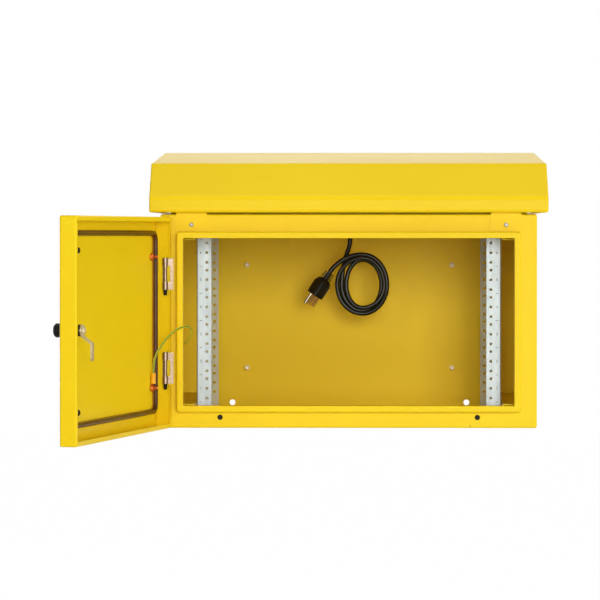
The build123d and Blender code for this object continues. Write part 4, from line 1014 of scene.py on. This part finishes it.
def cross_screw(whole, seat):
    """Add a pan-head screw with a cross recess, standing on a seat, to a bmesh."""
    bm = bmesh.new()
    lathe(bm, screw_outline, Matrix(), steps=32)
    rim = [edge for edge in bm.edges if edge.is_boundary]
    cross = []
    for quarter in range(4):
        turn = Matrix.Rotation(math.pi / 2 * quarter, 4, "Z")
        cross += [bm.verts.new(turn @ mm(x, y, screw_top)) for x, y in cross_corners]
    ring = [bm.edges.new((cross[index - 1], cross[index])) for index in range(len(cross))]
    bmesh.ops.triangle_fill(bm, edges=rim + ring, use_beauty=True, use_dissolve=False)
    walls = bmesh.ops.extrude_edge_only(bm, edges=ring)["geom"]
    sunk = verts_in(walls)
    bmesh.ops.scale(bm, verts=sunk, vec=(recess_taper, recess_taper, 1))
    bmesh.ops.translate(bm, verts=sunk, vec=mm(0, 0, -recess_depth))
    bmesh.ops.contextual_create(bm, geom=edges_between(walls, sunk))
    bmesh.ops.transform(bm, matrix=seat, verts=bm.verts)
    spare = bpy.data.meshes.new("spare")
    bm.to_mesh(spare)
    bm.free()
    whole.from_mesh(spare)
    bpy.data.meshes.remove(spare)


print("a screw's head is", 2 * screw_head, "mm wide, its recess", recess_depth, "mm deep")

# %% [markdown]
# ## The hood's four screws
# Two screws hold the hood's front tabs and two its rear feet, each on the sheet that it clamps.
# The recesses of the front two are tilted, because nobody lines up the crosses of a hood.

# %% The hood's four screws
hood_sheet = 1.5
front_face = -500
roof = 172.5
tilted = (math.cos(0.4), 0, math.sin(0.4))
screw_bm = bmesh.new()
for x in (-253.6, 253.6):
    cross_screw(screw_bm, seat_at(mm(x, front_face - hood_sheet, 155.2), out_of_front, tilted))
for x in (-190.0, 190.0):
    cross_screw(screw_bm, seat_at(mm(x, -12.75, roof + hood_sheet), (0, 0, 1)))
finish_piece("cross_hood_screws", screw_bm, "cabinet", slot_of["hood_screws"], ["hood_screws"])

# %% [markdown]
# ## Lines at every rack unit
# Rack rails are marked so that two people can mount a shelf level. At every unit there is a short
# line, printed flat on the zinc, so it is real but almost without thickness. A grid of one face
# makes it, turned upright and set just in front of the rail.

# %% Lines at every rack unit
rail_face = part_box("front_left_rail")[0].y
rack_units = 6
unit_pitch = 44.45
marks_middle = -1.3
line_width = 4.5 * MM
line_height = 0.7 * MM
lines_from_middle = 242.7 * MM
line_ink = 0.02 * MM
upright = Matrix.Rotation(math.pi / 2, 4, "X")
mark_bm = bmesh.new()
for side in (-1, 1):
    for unit in range(rack_units + 1):
        dash = bmesh.ops.create_grid(mark_bm, x_segments=1, y_segments=1, size=0.5)["verts"]
        bmesh.ops.scale(mark_bm, verts=dash, vec=(line_width, line_height, 1))
        bmesh.ops.transform(mark_bm, matrix=upright, verts=dash)
        level = (unit - rack_units / 2) * unit_pitch + marks_middle
        spot = (side * lines_from_middle, rail_face - line_ink, level * MM)
        bmesh.ops.translate(mark_bm, verts=dash, vec=spot)
print("lines", 2 * (rack_units + 1))

# %% [markdown]
# ## Numbers between the lines
# The units are numbered from the bottom. A text object gives each number its shape, and it is made
# a mesh before it takes its place, because every piece ends up as a mesh at the origin.

# %% Numbers between the lines
number_size = 6.2 * MM
number_rise = 22.2  # from a line to the middle of the number over it, in millimetres
numbers_from_middle = 242.6 * MM
number_ink = 0.03 * MM
for unit in range(rack_units):
    letters = bpy.data.curves.new("unit_number", "FONT")
    letters.body = str(unit + 1)
    letters.size = number_size
    letters.align_x = "CENTER"
    letters.align_y = "CENTER"
    number = add_object("unit_number", letters)
    flat = mesh_of(number)
    bpy.data.objects.remove(number)
    level = (unit - rack_units / 2) * unit_pitch + number_rise + marks_middle
    for side in (-1, 1):
        spot = Vector((side * numbers_from_middle, rail_face - number_ink, level * MM))
        copy = flat.copy()
        copy.transform(Matrix.Translation(spot) @ upright)
        mark_bm.from_mesh(copy)
        bpy.data.meshes.remove(copy)
    bpy.data.meshes.remove(flat)
finish_piece("rail_unit_marks", mark_bm, "cabinet", "black_plastic")

# %% [markdown]
# ## Lamps
# A catalogue view of a painted sheet-metal box wants broad, even light, so that the folds read by
# soft steps in tone and not by hard shadows. Two tall softboxes stand near the camera and shine
# straight into the open cabinet, and a weaker one fills from the left. A lamp far to the right
# only reaches the inner face of the open door, and a narrow strip beside it draws the edges on
# that side. One hangs straight overhead and lights the hood's slope without being mirrored in it.
# A low one behind the cabinet is mirrored at a flat angle in the hood's top, which pales there. A
# last one stands behind on the left for anyone who walks round.

# %% Lamps
lamps = {  # where each stands, its width and height in metres, and its power in watts
    "key": ((0.2, -6.2, 0.6), (1.2, 1.7), 92),
    "right_key": ((1.1, -5.9, 0.55), (1.2, 1.6), 88),
    "left_fill": ((-1.9, -4.8, 0.7), (1.4, 1.2), 23),
    "edge_strip": ((3.2, -1.6, 0.4), (0.08, 2.4), 5),
    "door_light": ((4.0, -0.9, 0.4), (1.2, 2.0), 55),
    "overhead": ((0.0, -0.6, 2.9), (2.6, 0.8), 38),
    "back_glow": ((0.0, 3.5, 1.2), (3.0, 0.8), 14),
    "back_fill": ((-3.0, 4.2, 0.2), (2.0, 1.6), 70),
}
cabinet_middle = Vector((0.0, -0.3, 0.0))
for name, (where, (width, height), watts) in lamps.items():
    lamp = bpy.data.lights.new(name, "AREA")
    lamp.shape = "RECTANGLE"
    lamp.size = width
    lamp.size_y = height
    lamp.energy = watts
    box = add_object(name, lamp)
    box.location = where
    box.rotation_euler = (cabinet_middle - Vector(where)).to_track_quat("-Z", "Y").to_euler()
print("lamps", len(lamps))

# %% [markdown]
# ## White surroundings
# The surroundings are white to the camera's eye without more light on the cabinet, because Light
# Path tells a node who is looking. A shiny surface sees most of that white too, as it would in a
# white room, and everything else sees the plain shader.

# %% White surroundings
shine_share = 0.7  # how much of the white a shiny surface mirrors


def math_node(tree, operation, first, second):
    """One step of sums in a node tree. The second value is a number or a socket."""
    node = tree.nodes.new("ShaderNodeMath")
    node.operation = operation
    tree.links.new(first, node.inputs[0])
    if isinstance(second, float):
        node.inputs[1].default_value = second
    else:
        tree.links.new(second, node.inputs[1])
    return node.outputs[0]


def seen_white(tree, plain, white, amount=1.0):
    """Mix a plain shader with a white one where the camera looks at it, and less in a shine."""
    path = tree.nodes.new("ShaderNodeLightPath")
    shine = math_node(tree, "MULTIPLY", path.outputs["Is Glossy Ray"], shine_share)
    seen = math_node(tree, "MAXIMUM", path.outputs["Is Camera Ray"], shine)
    seen = math_node(tree, "MAXIMUM", seen, path.outputs["Is Transmission Ray"])
    mix = tree.nodes.new("ShaderNodeMixShader")
    tree.links.new(math_node(tree, "MULTIPLY", seen, amount), mix.inputs[0])
    tree.links.new(plain.outputs[0], mix.inputs[1])
    tree.links.new(white.outputs[0], mix.inputs[2])
    return mix.outputs[0]


print("a shine mirrors", shine_share, "of the white")

# %% [markdown]
# ## World
# The world is a white studio with a faint even light of its own, which keeps the deepest corners
# of the cabinet from going black.

# %% World
even_light = 0.05


def background(tree, strength):
    """A white background shader of that strength."""
    shader = tree.nodes.new("ShaderNodeBackground")
    shader.inputs["Color"].default_value = (1, 1, 1, 1)
    shader.inputs["Strength"].default_value = strength
    return shader


world = bpy.data.worlds.new("studio")
scene.world = world
world.use_nodes = True
sky = world.node_tree
sky.nodes.clear()
sky_out = sky.nodes.new("ShaderNodeOutputWorld")
studio_white = seen_white(sky, background(sky, even_light), background(sky, 1.0))
sky.links.new(studio_white, sky_out.inputs[0])
print("even light", even_light)

# %% [markdown]
# ## Floor
# The floor lies well below the cabinet, which hangs on a wall in use. It is not quite as white to
# the camera as the world is, so that it still takes a faint shadow.

# %% Floor
floor_white = 0.995
floor_finish = bpy.data.materials.new("white_floor")
floor_finish.use_nodes = True
floor_tree = floor_finish.node_tree
plain_floor = floor_tree.nodes["Principled BSDF"]
plain_floor.inputs["Base Color"].default_value = (0.86, 0.86, 0.86, 1)
plain_floor.inputs["Roughness"].default_value = 0.9
glow = floor_tree.nodes.new("ShaderNodeEmission")
glow.inputs["Strength"].default_value = 1.0
glowing_floor = seen_white(floor_tree, plain_floor, glow, floor_white)
floor_tree.links.new(glowing_floor, floor_tree.nodes["Material Output"].inputs[0])

floor_level = -0.8
floor_half = 12.0
floor_bm = bmesh.new()
bmesh.ops.create_grid(floor_bm, x_segments=1, y_segments=1, size=floor_half)
bmesh.ops.translate(floor_bm, vec=(0, 0, floor_level), verts=floor_bm.verts)
floor_mesh = bpy.data.meshes.new("floor")
floor_bm.to_mesh(floor_mesh)
floor_bm.free()
floor_mesh.materials.append(floor_finish)
add_object("floor", floor_mesh)
print("floor at", floor_level, "m")

# %% Colour management
scene.view_settings.view_transform = "Standard"
